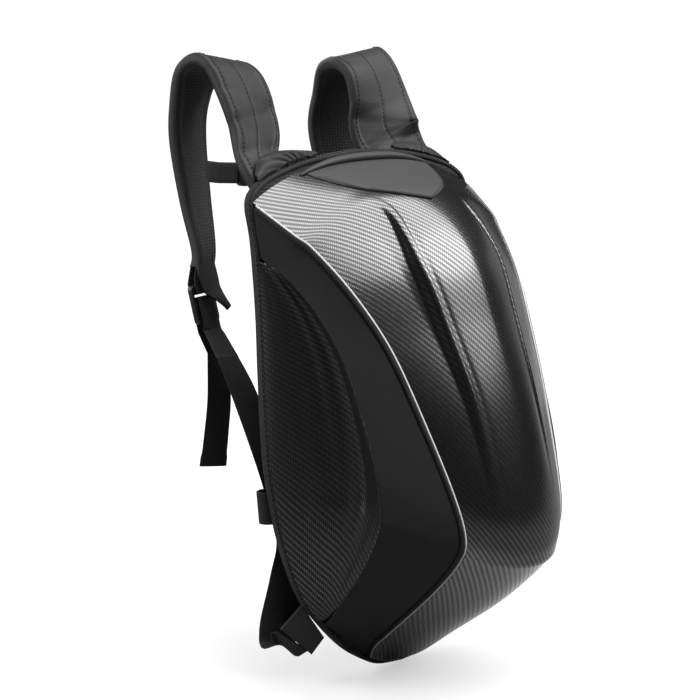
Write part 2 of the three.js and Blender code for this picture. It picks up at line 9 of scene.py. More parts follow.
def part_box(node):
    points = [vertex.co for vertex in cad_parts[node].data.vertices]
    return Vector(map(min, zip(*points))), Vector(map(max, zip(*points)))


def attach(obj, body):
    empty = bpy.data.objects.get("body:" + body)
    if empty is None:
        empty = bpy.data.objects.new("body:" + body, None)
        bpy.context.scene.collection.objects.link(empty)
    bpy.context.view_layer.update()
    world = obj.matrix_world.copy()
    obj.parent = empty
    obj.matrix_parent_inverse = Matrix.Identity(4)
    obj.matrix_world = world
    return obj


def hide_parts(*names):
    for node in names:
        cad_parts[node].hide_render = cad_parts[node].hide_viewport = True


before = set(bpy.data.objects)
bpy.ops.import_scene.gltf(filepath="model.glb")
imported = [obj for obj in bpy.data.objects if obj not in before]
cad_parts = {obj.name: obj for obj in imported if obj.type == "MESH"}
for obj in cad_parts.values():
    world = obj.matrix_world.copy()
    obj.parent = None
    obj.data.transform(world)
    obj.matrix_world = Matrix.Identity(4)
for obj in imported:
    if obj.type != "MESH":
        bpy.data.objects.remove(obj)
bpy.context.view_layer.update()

# Front shell: foam under a glossy black film with a carbon twill look, pressed hot in a mould. A hump runs
# down its middle between two sharp ridges, and its edge is sewn into the piping.
MM = 0.001
BACK_LEAN = 0.12
BACK_THICK = 8
SEWN_GAP = 0.4
SHELL_THICK = 4
SHELL_STEPS = (150, 320)
SEAM_ROOM = 1.6
RIDGE_WALL, RIDGE_STEEP = 5.0, 0.8
BEAD_IN, BEAD_WIDE, BEAD_TALL = 2.4, 2.6, 1.1
GROOVE_IN, GROOVE_WIDE, GROOVE_DEEP = 8, 2.4, 0.45
FULL_STEP = 4
LIP_AT, LIP_WIDE, LIP_TALL = 0.655, 0.016, 3.4
FILM_TOW = 1.5 * MM
FILM_ROWS = math.radians(54)
panel_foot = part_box("back_binding")[0].y / MM + BACK_THICK


def table(columns, rows):
    """Columns of a table by name."""
    return dict(zip(columns, np.array(rows, float).T))


def smooth(column, t):
    """A smooth value of a column, with t from 0 in its first row to 1 in its last."""
    last = len(column) - 1
    place = np.clip(t, 0, 1) * last
    row = np.minimum(np.floor(place).astype(int), last - 1)
    f = place - row
    a, b, c, d = (column[np.clip(row + k, 0, last)] for k in (-1, 0, 1, 2))
    return b + 0.5 * f * (c - a + f * (2 * a - 5 * b + 4 * c - d + f * (3 * (b - c) + d - a)))


def ease(x):
    """A smooth step from 0 to 1."""
    x = np.clip(x, 0, 1)
    return x * x * (3 - 2 * x)


def bell(x, wide):
    """A soft bump of height 1 at 0."""
    return np.exp(-(x / wide) ** 2)


def unit(v):
    """Directions of length 1."""
    return v / np.linalg.norm(v, axis=-1, keepdims=True)


def length_along(line):
    """Length from the start of a line to each of its points."""
    return np.pad(np.cumsum(np.linalg.norm(np.diff(line, axis=0), axis=1)), (1, 0))


def points_of(rows, names, t):
    """Points or directions from three columns of a table."""
    return np.stack([smooth(rows[name], t) for name in names], -1)


def outward_of(grid):
    """The outward direction at each point of a sheet."""
    return -unit(np.cross(np.gradient(grid, axis=1), np.gradient(grid, axis=0)))


def in_scene(name, data):
    """A new object in the scene."""
    obj = bpy.data.objects.new(name, data)
    bpy.context.scene.collection.objects.link(obj)
    return obj


# From the top edge to the bottom edge: the piping seam, the middle of the shell, the arch between them, the
# seam between gusset and side panel, and the side panel's back edge and hollow.
sections = table(
    ["seam_x", "seam_y", "seam_z", "spine_y", "spine_z", "power", "inner_x", "inner_y", "inner_z", "back_z",
     "hollow"], [
        [139, 43.8, 435, 47.5, 466, 2.6, 134.5, 38, 387, 386, 0],
        [129, 2.2, 410, -2, 451, 2.3, 131, 25, 379.5, 378, 1],
        [121.4, -14.2, 398, -40, 435, 2.0, 128.5, 7, 369, 366, 4],
        [108, -47.3, 363, -86, 393, 1.6, 125, -24, 342, 338, 10],
        [92.6, -78, 316, -115, 332, 1.5, 122.5, -52, 304, 300, 16],
        [81, -106, 257, -142, 265, 1.7, 120.5, -73, 254, 256, 19],
        [69.5, -131.4, 194, -163, 196, 1.9, 118.5, -87.5, 209, 214, 19],
        [63.8, -140.5, 156, -171, 150, 2, 117, -91, 179.5, 190, 17],
        [61.5, -132, 133, -163, 122, 2, 116, -88.7, 162.5, 172, 14],
        [57, -98.5, 98, -121, 81, 2, 112.5, -69.4, 128.5, 140, 9],
        [50, -41, 49, -59, 37, 2.2, 105, -33, 85, 98, 4],
        [46.5, -16, 28, -26, 13, 2.2, 100, -15.2, 67.5, 76, 1],
        [43, -6.7, 14, -8.4, 4, 2.6, 96, -1.7, 56, 57, 0],
    ])
# The ridges along RIDGE_SPAN of the shell: half the distance between their crests, half that between their
# feet, and how far the hump stands above the flanks.
RIDGE_SPAN = (0.13, 0.53)
ridge = table(["crest", "foot", "step"], [
    [55, 72, 0], [50, 70, 3], [51.7, 68.6, 5.5], [53, 65.3, 7], [50.3, 60.8, 7.5], [47.5, 55, 7],
    [44.5, 51, 5.5], [42, 48, 3.5], [40.5, 46, 2], [39.5, 45, 0.8], [39, 44, 0],
])


def shell_surface(t, q):
    """Points of the shell, with t from its top to its bottom edge and q from its left to its right seam."""
    row = {name: smooth(column, t) for name, column in sections.items()}
    rise_y = row["spine_y"] - row["seam_y"]
    rise_z = row["spine_z"] - row["seam_z"]
    rise = np.hypot(rise_y, rise_z)
    x = q * row["seam_x"]
    ridge_t = (t - RIDGE_SPAN[0]) / (RIDGE_SPAN[1] - RIDGE_SPAN[0])
    crest, foot, tall = (smooth(ridge[name], ridge_t) for name in ridge)
    out = np.abs(x) - crest
    fall = RIDGE_STEEP * ease(out / RIDGE_WALL) + (1 - RIDGE_STEEP) * ease(out / (foot - crest))
    edge = BEAD_TALL * bell(out + BEAD_IN, BEAD_WIDE) - GROOVE_DEEP * bell(out + GROOVE_IN, GROOVE_WIDE)
    lip = LIP_TALL * np.exp(-np.abs(t - LIP_AT) / LIP_WIDE) * (1 - q ** 4)
    step = tall / rise
    share = (1 - np.abs(q) ** row["power"]) * (1 - step) + step * (1 - fall)
    share = share + (edge * np.minimum(tall / FULL_STEP, 1) + lip) / rise
    y = row["seam_y"] + rise_y * share
    z = np.maximum(row["seam_z"] + rise_z * share, 0)
    return np.stack(np.broadcast_arrays(x, y, z), -1)


def ahead_of_back(points):
    """Points kept in front of the back panel."""
    limit = BACK_LEAN * points[..., 2] - BACK_THICK - SEWN_GAP
    return np.stack([points[..., 0], np.minimum(points[..., 1], limit), points[..., 2]], -1)


def quads(grid, round_across=False, round_along=False):
    """Faces over a lattice of points, and the cut length across and along at each of their corners."""
    rows, columns = grid.shape[:2]
    i, j = np.mgrid[0:rows - (not round_along), 0:columns - (not round_across)].reshape(2, -1)
    corner_i = np.stack([i, i, i + 1, i + 1], 1)
    corner_j = np.stack([j, j + 1, j + 1, j], 1)
    full = np.pad(grid, ((0, 1), (0, 1), (0, 0)), mode="wrap")
    middle = columns // 2
    across = np.cumsum(np.linalg.norm(np.diff(full, axis=1), axis=2), axis=1)
    across = np.pad(across, ((0, 0), (1, 0)))
    across -= across[:, middle][:, None]
    along = length_along(full[:, middle])
    cut = np.stack([across[corner_i, corner_j], along[corner_i]], -1)
    return (corner_i % rows) * columns + corner_j % columns, cut


def piece(name, points, faces, cut, finish):
    """A closed mesh from points in millimetres of the tables, facing outward."""
    mesh = bpy.data.meshes.new(name)
    placed = (np.asarray(points, float).reshape(-1, 3) + (0, panel_foot, 0)) * MM
    mesh.from_pydata(placed.tolist(), [], faces)
    lengths = mesh.uv_layers.new(name="cut")
    lengths.data.foreach_set("uv", (np.asarray(cut, float) * MM).ravel())
    build = bmesh.new()
    build.from_mesh(mesh)
    if build.calc_volume(signed=True) < 0:
        bmesh.ops.reverse_faces(build, faces=build.faces)
    build.to_mesh(mesh)
    build.free()
    mesh.shade_smooth()
    mesh.set_sharp_from_angle(angle=math.radians(50))
    mesh.materials.append(finish)
    return in_scene(name, mesh)


def sheet_wall(name, grid, thick, finish, inner_place=ahead_of_back):
    """A sheet of points as a wall of some thickness, with a rim round its edge."""
    rows, columns = grid.shape[:2]
    outward = outward_of(grid)
    inner = inner_place(grid - thick * outward)
    faces, cut = quads(grid)
    count = rows * columns
    number = np.arange(count).reshape(rows, columns)
    rim = np.concatenate([number[0, :-1], number[:-1, -1], number[-1, :0:-1], number[:0:-1, 0]])
    rim_next = np.roll(rim, -1)
    rim_faces = np.stack([rim_next, rim, count + rim, count + rim_next], 1)
    place = np.zeros((count, 2))
    place[faces.ravel()] = cut.reshape(-1, 2)
    all_faces = np.concatenate([faces, count + faces[:, ::-1], rim_faces])
    points = np.concatenate([grid.reshape(-1, 3), inner.reshape(-1, 3)])
    return piece(name, points, all_faces.tolist(), place[all_faces.ravel() % count], finish)


def finish_of(name, colour, roughness):
    """A material with its shader, to be given its weave or grain."""
    material = bpy.data.materials.new(name)
    material.use_nodes = True
    tree = material.node_tree
    shader = tree.nodes["Principled BSDF"]
    shader.inputs["Base Color"].default_value = (*colour, 1)
    shader.inputs["Roughness"].default_value = roughness
    return material, tree, shader


def set_values(node, values):
    """Sets plain numbers on a node's own sockets."""
    for name, value in values.items():
        node.inputs[name].default_value = value


def reckon(tree, operation, *values):
    """A number worked out at each point of a surface."""
    node = tree.nodes.new("ShaderNodeMath")
    node.operation = operation
    for socket, value in zip(node.inputs, values):
        if isinstance(value, bpy.types.NodeSocket):
            tree.links.new(value, socket)
        else:
            socket.default_value = value
    return node.outputs[0]


def cut_place(tree):
    """Metres across and along the cut piece."""
    lengths = tree.nodes.new("ShaderNodeUVMap")
    lengths.uv_map = "cut"
    split = tree.nodes.new("ShaderNodeSeparateXYZ")
    tree.links.new(lengths.outputs["UV"], split.inputs[0])
    return split.outputs["X"], split.outputs["Y"]


def shade(tree, amount, dark, light, socket):
    """A grey or colour from dark to light by an amount, on a socket of the shader."""
    ramp = tree.nodes.new("ShaderNodeValToRGB")
    ramp.color_ramp.elements[0].color = (*dark, 1)
    ramp.color_ramp.elements[1].color = (*light, 1)
    tree.links.new(amount, ramp.inputs["Fac"])
    tree.links.new(ramp.outputs["Color"], socket)


def spread(tree, amount, low, high, socket):
    """A number from low to high by an amount, on a socket of the shader."""
    tree.links.new(reckon(tree, "MULTIPLY_ADD", amount, high - low, low), socket)


def relief(tree, shader, height, tall):
    """Raises the surface by a height from 0 to 1, tall metres high."""
    bump = tree.nodes.new("ShaderNodeBump")
    bump.inputs["Distance"].default_value = tall
    tree.links.new(height, bump.inputs["Height"])
    tree.links.new(bump.outputs["Normal"], shader.inputs["Normal"])


def grain(tree, size):
    """Fine uneven grain of some size in metres, from 0 to 1."""
    place = tree.nodes.new("ShaderNodeTexCoord")
    noise = tree.nodes.new("ShaderNodeTexNoise")
    set_values(noise, {"Scale": 1 / size, "Detail": 3})
    tree.links.new(place.outputs["Object"], noise.inputs["Vector"])
    return noise.outputs["Fac"]


def grained(tree, shader, size, dark, light, tall):
    """A colour from dark to light by a fine grain, which also stands up by tall metres."""
    uneven = grain(tree, size)
    shade(tree, uneven, dark, light, shader.inputs["Base Color"])
    relief(tree, shader, uneven, tall)
    return uneven


def crown(tree, share):
    """0 at both edges of a band and 1 in its middle."""
    return reckon(tree, "MULTIPLY", reckon(tree, "MULTIPLY", share, 4), reckon(tree, "SUBTRACT", 1, share))


def twill(tree, tow, rows):
    """Height of a two-by-two twill, and 1 where the bright bands lie on top. Its rows lean by an angle."""
    across, along = cut_place(tree)
    lean = rows + math.pi / 4

    def bands(of_across, of_along):
        place_across = reckon(tree, "MULTIPLY", across, of_across / tow)
        place = reckon(tree, "MULTIPLY_ADD", along, of_along / tow, place_across)
        return reckon(tree, "FLOOR", place), reckon(tree, "FRACT", place)

    first, in_first = bands(math.cos(lean), math.sin(lean))
    second, in_second = bands(-math.sin(lean), math.cos(lean))
    turn = reckon(tree, "FLOORED_MODULO", reckon(tree, "ADD", first, second), 4)
    on_top = reckon(tree, "LESS_THAN", turn, 2)

    def band_height(side, run):
        float_place = reckon(tree, "MULTIPLY", run, 0.5)
        lift = reckon(tree, "MULTIPLY_ADD", crown(tree, float_place), 0.6, 0.4)
        return reckon(tree, "MULTIPLY", crown(tree, side), lift)

    over = band_height(in_second, reckon(tree, "ADD", turn, in_first))
    under = band_height(in_first, reckon(tree, "ADD", reckon(tree, "SUBTRACT", turn, 2), in_second))
    height = reckon(tree, "MULTIPLY_ADD", on_top, reckon(tree, "SUBTRACT", over, under), under)
    return height, on_top


def carbon(tree, shader, weave, bright, rough, tall):
    """Dark bands and bright, metal-like ones by a twill. rough is that of the dark and the bright bands."""
    height, on_top = weave
    thread = reckon(tree, "MULTIPLY", on_top, height)
    shade(tree, thread, (0.004, 0.004, 0.004), bright, shader.inputs["Base Color"])
    spread(tree, on_top, 0.0, 1.0, shader.inputs["Metallic"])
    spread(tree, on_top, *rough, shader.inputs["Roughness"])
    relief(tree, shader, height, tall)


def fit(obj, slot, *nodes):
    """The piece rides on the bag and stands for CAD nodes, which it hides. slot is not used."""
    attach(obj, "root")
    if nodes:
        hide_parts(*nodes)
    return obj


carbon_film, film_tree, film = finish_of("carbon_film", (0.01, 0.01, 0.011), 0.34)
film_weave = twill(film_tree, FILM_TOW, FILM_ROWS)
carbon(film_tree, film, film_weave, (0.21, 0.21, 0.214), (0.4, 0.24), 0.05 * MM)
set_values(film, {"Specular IOR Level": 0.2, "Coat Weight": 1, "Coat IOR": 1.58, "Coat Roughness": 0.2})

shell_along = np.linspace(0, 1, SHELL_STEPS[0] + 1)[:, None]
shell_reach = 1 - SEAM_ROOM / smooth(sections["seam_x"], shell_along)
shell_across = np.linspace(-1, 1, SHELL_STEPS[1] + 1)[None, :] * shell_reach
shell_grid = ahead_of_back(shell_surface(shell_along, shell_across))
shell = sheet_wall("shell_film", shell_grid, SHELL_THICK, carbon_film)
fit(shell, "carbon_film", "shell")

# Top patch: a bare shield of matte grey rubber, pressed on to the top of the shell in front of the roll,
# with a fine sunk line inside its rounded edge.
PATCH_HALF, PATCH_REAR, PATCH_POINT = 77, 40, -40
PATCH_NOSE, PATCH_CHEEK = (26, -33), (61, -8)
PATCH_THICK, PATCH_RIM = 1.6, 0.3
PATCH_EDGE = 1.4
PATCH_STEPS = (70, 81)
PATCH_LINE_AT, PATCH_LINE_WIDE, PATCH_LINE_DEEP = 3.2, 1.1, 1.2

patch_grey, patch_tree, rubber = finish_of("patch_grey", (0.13, 0.13, 0.135), 0.55)
grained(patch_tree, rubber, 0.9 * MM, (0.045, 0.045, 0.046), (0.066, 0.066, 0.068), 0.08 * MM)
rubber.inputs["Specular IOR Level"].default_value = 0.3


def on_shell(x, y):
    """The place on the shell above a point in plan, and its outward direction."""
    start = Vector((x * MM, (y + panel_foot) * MM, 1))
    _, place, outward, _ = shell.ray_cast(start, Vector((0, 0, -1)))
    return np.array(place) / MM - (0, panel_foot, 0), np.array(outward)


def patch_side(share):
    """Half width and y of the shield, from its point to its straight rear edge."""
    near, far = 1 - share, share
    weights = np.array([near ** 3, 3 * near ** 2 * far, 3 * near * far ** 2, far ** 3])
    corners = np.array([(0, PATCH_POINT), PATCH_NOSE, PATCH_CHEEK, (PATCH_HALF, PATCH_REAR)])
    return weights @ corners


def patch_grids():
    """Lower and upper face of the patch."""
    lower, upper = [], []
    for share in np.linspace(0.02, 1, PATCH_STEPS[0]):
        half, y = patch_side(share)
        for q in np.linspace(-1, 1, PATCH_STEPS[1]):
            place, outward = on_shell(q * half, y)
            inside = min((1 - abs(q)) * half, PATCH_REAR - y)
            round_edge = math.sqrt(1 - (1 - min(inside / PATCH_EDGE, 1)) ** 2)
            line = PATCH_LINE_DEEP * bell(inside - PATCH_LINE_AT, PATCH_LINE_WIDE)
            lower.append(place + outward * SEWN_GAP)
            height = PATCH_RIM + (PATCH_THICK - PATCH_RIM) * round_edge - line
            upper.append(place + outward * (SEWN_GAP + height))
    return (np.array(face).reshape(*PATCH_STEPS, 3) for face in (lower, upper))


patch_lower, patch_upper = patch_grids()
top_patch = sheet_wall("top_patch_rubber", patch_upper, 0, patch_grey, lambda _: patch_lower)
fit(top_patch, "patch_grey", "top_patch")

# Top roll: a strip of grey cloth rolled over a soft core along the top seam, thin at its ends, with the
# edges of the seam showing as a dark line above and below it.
ROLL_DEEP, ROLL_TALL = 5.4, 4.0
ROLL_REACH = 0.6
ROLL_STEPS = 81
ROLL_TAPER = 0.6
ROLL_PLACE = 0.014
ROLL_THIN = 0.2
ROLL_SUNK = 1.2

band_cloth, band_tree, band = finish_of("band_cloth", (0.02, 0.02, 0.021), 0.7)
grained(band_tree, band, 0.8 * MM, (0.014, 0.014, 0.015), (0.026, 0.026, 0.027), 0.12 * MM)
set_values(band, {"Specular IOR Level": 0.15, "Sheen Weight": 0.1, "Sheen Roughness": 0.5})

roll_cloth, roll_tree, roll_look = finish_of("roll_cloth", (0.11, 0.11, 0.112), 0.6)
grained(roll_tree, roll_look, 0.7 * MM, (0.022, 0.022, 0.023), (0.045, 0.045, 0.047), 0.12 * MM)


def tube(path, radius, sides, hint, flat=1):
    """Rings of points round a path. hint is a direction that the path never takes, and flat is how tall the
    rings are along it for their width."""
    run = unit(np.gradient(path, axis=0))
    side = unit(np.cross(np.array(hint, float), run))
    up = np.cross(run, side) * flat
    angle = np.linspace(0, 2 * math.pi, sides, endpoint=False)
    radius = np.broadcast_to(radius, len(path))[:, None, None]
    ring = np.cos(angle)[:, None] * side[:, None] + np.sin(angle)[:, None] * up[:, None]
    return path[:, None] + radius * ring


def lofted(name, grid, finish, closed=False):
    """A body through rings of points, with flat ends or closed on itself."""
    rows, columns = grid.shape[:2]
    faces, cut = quads(grid, round_across=True, round_along=closed)
    faces = faces.tolist()
    cut = cut.reshape(-1, 2).tolist()
    if not closed:
        last = (rows - 1) * columns
        faces.append(list(range(columns - 1, -1, -1)))
        faces.append(list(range(last, last + columns)))
        cut.extend([[0, 0]] * 2 * columns)
    return piece(name, grid.reshape(-1, 3), faces, cut, finish)


roll_share = np.linspace(0, 1, ROLL_STEPS)
roll_radius = ROLL_DEEP * (ROLL_THIN + (1 - ROLL_THIN) * np.sin(math.pi * roll_share) ** ROLL_TAPER)
roll_path = shell_surface(np.full(ROLL_STEPS, ROLL_PLACE), ROLL_REACH * (2 * roll_share - 1))
roll_path[:, 2] += roll_radius * ROLL_TALL / ROLL_DEEP + 2 * SEWN_GAP - ROLL_SUNK
roll_rings = tube(roll_path, roll_radius, 24, (0, 0, 1), ROLL_TALL / ROLL_DEEP)
roll = lofted("top_roll_padding", roll_rings, roll_cloth)
fit(roll, "band_cloth", "top_roll")

# Piping: a white reflective cord and a black cord side by side, sewn into the seam between the shell and the
# gusset on each side.
WHITE_CORD, BLACK_CORD = 0.85, 1.7
PIPING_ENDS = 0.012
PIPING_STEPS = 240
CORD_RIB = 0.6 * MM
# How far each cord lies from the seam into its own cloth, and outward
WHITE_AT, BLACK_AT = (1.0, 0.5), (1.9, 0.1)

reflective_cord, cord_tree, cord_look = finish_of("reflective_cord", (0.62, 0.63, 0.64), 0.38)
cord_across, cord_along = cut_place(cord_tree)
cord_twist = reckon(cord_tree, "ADD", cord_along, cord_across)
cord_rib = reckon(cord_tree, "PINGPONG", cord_twist, CORD_RIB)
cord_height = reckon(cord_tree, "MULTIPLY", cord_rib, 1 / CORD_RIB)
shade(cord_tree, cord_height, (0.6, 0.61, 0.62), (0.88, 0.89, 0.9), cord_look.inputs["Base Color"])
relief(cord_tree, cord_look, cord_height, 0.1 * MM)
cord_look.inputs["Specular IOR Level"].default_value = 0.6


def seam_line(name, t):
    """A seam of the left side from three columns of the sections."""
    return points_of(sections, [f"{name}_{axis}" for axis in "xyz"], t) * (-1, 1, 1)


def mirrored(left):
    """The same piece on the other side of the bag."""
    mesh = left.data.copy()
    mesh.transform(Matrix.Scale(-1, 4, (1, 0, 0)))
    mesh.flip_normals()
    return in_scene(left.name.replace("_left", "_right"), mesh)


def fit_pair(left, slot, *nodes):
    """A left piece and its mirror image, standing for the nodes of the same names on their sides."""
    right = mirrored(left)
    fit(left, slot, *[f"{node}_left" for node in nodes])
    fit(right, slot, *[f"{node}_right" for node in nodes])
    return left, right


piping_t = np.linspace(PIPING_ENDS, 1 - PIPING_ENDS, PIPING_STEPS)
piping_seam = seam_line("seam", piping_t)
gusset_seam = seam_line("inner", piping_t)
to_shell = unit(shell_surface(piping_t, np.full(PIPING_STEPS, -0.96)) - piping_seam)
to_gusset = unit(gusset_seam - piping_seam)
seam_outward = -unit(to_shell + to_gusset)
white_path = piping_seam + WHITE_AT[0] * to_shell + WHITE_AT[1] * seam_outward
black_path = piping_seam + BLACK_AT[0] * to_gusset + BLACK_AT[1] * seam_outward
white_cord = lofted("piping_white_left", tube(white_path, WHITE_CORD, 12, (1, 0, 0)), reflective_cord)
black_cord = lofted("piping_black_left", tube(black_path, BLACK_CORD, 12, (1, 0, 0)), band_cloth)
fit_pair(white_cord, "reflective_cord", "piping")
fit_pair(black_cord, "band_cloth")

# Gussets: bands of smooth black cloth over thin foam between the piping and the side panels. Their edges are
# turned in at the piping, so that the seam lies in a valley.
CLOTH_THICK = 2
GUSSET_PUFF = 3
GUSSET_CORD_ROOM = 3.2
SEAM_DIP, SEAM_DIP_WIDE = 1.4, 2.2
PANEL_STEPS = 170


def between(start, end, share, clear_start, clear_end):
    """Points on the way from start to end, a set distance short of each."""
    long = np.linalg.norm(end - start, axis=-1, keepdims=True)
    return start + (end - start) * (clear_start + share * (long - clear_start - clear_end)) / long


def turned_in(grid, share, deep):
    """A sheet whose far edge dips inward at its seam."""
    outward = outward_of(grid)
    long = np.linalg.norm(np.diff(grid, axis=1), axis=2).sum(1)[:, None]
    dip = bell((1 - share) * long, SEAM_DIP_WIDE)
    return grid - deep * dip[..., None] * outward


panel_t = np.linspace(0, 1, PANEL_STEPS + 1)[:, None]
gusset_s = (1 - np.cos(np.linspace(0, math.pi, 31)))[None, :] / 2
gusset_grid = between(seam_line("inner", panel_t), seam_line("seam", panel_t), gusset_s[..., None],
                      SEWN_GAP, GUSSET_CORD_ROOM)
gusset_full = GUSSET_PUFF * gusset_s * (1 - gusset_s) * np.sin(math.pi * panel_t)
gusset_grid = gusset_grid - gusset_full[..., None] * np.array([1, 1, 0])
gusset_grid = ahead_of_back(turned_in(gusset_grid, gusset_s, SEAM_DIP))
gusset = sheet_wall("gusset_cloth_left", gusset_grid, CLOTH_THICK, band_cloth)
fit_pair(gusset, "band_cloth", "gusset")

# Side panels: soft cloth with a printed carbon twill between the gusset and the back panel. They have fallen
# in along a valley, with shallow folds along it.
outline = table(["half", "z"], [
    [0, 2.5], [28, 5], [46, 11.5], [72, 28.5], [98, 55], [119, 84], [133, 123], [141.5, 165], [145, 215],
    [142, 282], [138, 340], [137, 400], [139.5, 434], [128, 449], [102, 460], [60, 469], [0, 474],
])
SIDE_ENDS = 0.03
SIDE_UNDER = 1.5
SIDE_DIP = 2.6
SIDE_TOP = 434
SIDE_VALLEY = 1.3
SIDE_DEEPER, SIDE_LOW = 1.35, 1.4
SIDE_TOW = 1.75 * MM
SIDE_ROWS = math.radians(34)
SIDE_FOLDS = table(["tall", "waves", "lean", "start"], [
    [0.9, 2.5, 3, 0.4], [0.6, 4, -5, 1.9], [0.35, 7, 8, 0.8],
])

carbon_cloth, side_tree, side_look = finish_of("carbon_cloth", (0.012, 0.012, 0.013), 0.55)
side_weave = twill(side_tree, SIDE_TOW, SIDE_ROWS)
carbon(side_tree, side_look, side_weave, (0.13, 0.13, 0.132), (0.55, 0.4), 0.08 * MM)
side_look.inputs["Specular IOR Level"].default_value = 0.35

outline_t = np.linspace(0, 1, 1200)
outline_z = np.maximum(smooth(outline["z"], outline_t), 0)
outline_line = np.stack([-smooth(outline["half"], outline_t), outline_z], 1)


def back_point(x, z, depth):
    """A point of the back panel's plane, moved towards the shell by depth."""
    x, z, depth = np.broadcast_arrays(x, z, depth)
    return np.stack([x, BACK_LEAN * z - depth, z], -1)


def back_half(z):
    """Half the width of the back panel at a height on its side."""
    side = outline_line[outline_line[:, 1] < SIDE_TOP]
    return np.interp(z, side[:, 1], -side[:, 0])


side_t = SIDE_ENDS + (1 - 2 * SIDE_ENDS) * panel_t
side_s = (1 - np.cos(np.linspace(0, math.pi, 61)))[None, :] / 2
side_z = smooth(sections["back_z"], side_t)
side_edge = back_point(-back_half(side_z), side_z, BACK_THICK + SEWN_GAP)
side_under = SIDE_UNDER * np.sin(math.pi * side_t)[..., None]
side_seam = seam_line("inner", side_t)
side_grid = between(side_edge, side_seam, side_s[..., None], 0, -side_under)
valley = np.sin(math.pi * side_s ** SIDE_LOW)
folds = sum(tall * np.sin(2 * math.pi * (waves * side_s + start) + lean * side_t)
            for tall, waves, lean, start in zip(*SIDE_FOLDS.values()))
side_in = SIDE_DEEPER * smooth(sections["hollow"], side_t) * valley ** SIDE_VALLEY
side_in = side_in + folds * valley * np.sin(math.pi * side_t)
side_grid = side_grid + side_in[..., None] * np.array([1, 0, 0])
side_grid = ahead_of_back(turned_in(side_grid, side_s, SIDE_DIP))
side_panel = sheet_wall("side_panel_cloth_left", side_grid, CLOTH_THICK, carbon_cloth)
fit_pair(side_panel, "carbon_cloth", "side_panel")

# Edge tape: ribbed black tape folded round the edge of the back panel, holding the side panels and the top
# of the shell, with a row of stitches on its side and on its back.
TAPE_WIDE = 3
TAPE_PROUD = 2
TAPE_RIB = 1.3 * MM
TAPE_POINTS = 900
TAPE_STITCH_DEPTH, TAPE_STITCH_IN = 6.2, 1.5
STITCH_LONG, STITCH_GAP, STITCH_THICK, STITCH_SIDES = 3.0, 1.4, 0.42, 6

webbing_look, webbing_tree, webbing_shader = finish_of("webbing", (0.012, 0.012, 0.013), 0.55)
webbing_across, webbing_along = cut_place(webbing_tree)
webbing_rib = reckon(webbing_tree, "PINGPONG", webbing_along, TAPE_RIB / 2)
webbing_row = reckon(webbing_tree, "PINGPONG", webbing_across, TAPE_RIB)
webbing_height = reckon(webbing_tree, "ADD", reckon(webbing_tree, "MULTIPLY", webbing_rib, 1.4 / TAPE_RIB),
                        reckon(webbing_tree, "MULTIPLY", webbing_row, 0.3 / TAPE_RIB))
shade(webbing_tree, webbing_height, (0.008, 0.008, 0.009), (0.026, 0.026, 0.027),
      webbing_shader.inputs["Base Color"])
spread(webbing_tree, webbing_height, 0.68, 0.52, webbing_shader.inputs["Roughness"])
relief(webbing_tree, webbing_shader, webbing_height, 0.22 * MM)
set_values(webbing_shader, {"Specular IOR Level": 0.3, "Sheen Weight": 0.05, "Sheen Roughness": 0.4})

thread_look, thread_tree, thread_shader = finish_of("thread", (0.005, 0.005, 0.005), 0.7)
shade(thread_tree, grain(thread_tree, 0.5 * MM), (0.002, 0.002, 0.002), (0.008, 0.008, 0.009),
      thread_shader.inputs["Base Color"])
thread_shader.inputs["Specular IOR Level"].default_value = 0.1


def outline_ring(inset, count=260):
    """Points round the whole back panel in its plane, moved in by an inset."""
    whole = np.concatenate([outline_line[:-1], (outline_line * (-1, 1))[:0:-1]])
    closed = np.concatenate([whole, whole[:1]])
    long = length_along(closed)
    place = np.linspace(0, long[-1], count, endpoint=False)
    ring = np.stack([np.interp(place, long, closed[:, 0]), np.interp(place, long, closed[:, 1])], 1)
    run = unit(np.roll(ring, -1, axis=0) - np.roll(ring, 1, axis=0))
    return ring + inset * np.stack([run[:, 1], -run[:, 0]], 1)


def stitches(name, rows, finish):
    """Threads along rows of stitching, each a short bead half sunk into the cloth. A row is its line and its
    outward directions."""
    share = np.array([0, 0.15, 0.5, 0.85, 1])
    radius = STITCH_THICK * np.array([0.35, 0.9, 1, 0.9, 0.35])
    angle = np.linspace(0, 2 * math.pi, STITCH_SIDES, endpoint=False)
    last = (len(share) - 1) * STITCH_SIDES
    points, faces, cut = [], [], []
    for line, outward in rows:
        long = length_along(line)
        for start in np.arange(STITCH_GAP / 2, long[-1] - STITCH_LONG, STITCH_LONG + STITCH_GAP):
            place = start + share * STITCH_LONG
            path = np.stack([np.interp(place, long, line[:, k]) for k in range(3)], 1)
            lift = unit(np.array([np.interp(start, long, outward[:, k]) for k in range(3)]))
            side = unit(np.cross(path[-1] - path[0], lift))
            ring = np.cos(angle)[:, None] * side + np.sin(angle)[:, None] * lift
            bead = path[:, None] + radius[:, None, None] * ring
            quad, quad_cut = quads(bead, round_across=True)
            first = len(share) * STITCH_SIDES * len(points)
            points.append(bead.reshape(-1, 3))
            faces.extend((quad + first).tolist())
            faces.append([first + k for k in range(STITCH_SIDES - 1, -1, -1)])
            faces.append([first + last + k for k in range(STITCH_SIDES)])
            cut.extend(quad_cut.reshape(-1, 2).tolist())
            cut.extend([[0, 0]] * 2 * STITCH_SIDES)
    return piece(name, np.concatenate(points), faces, cut, finish)


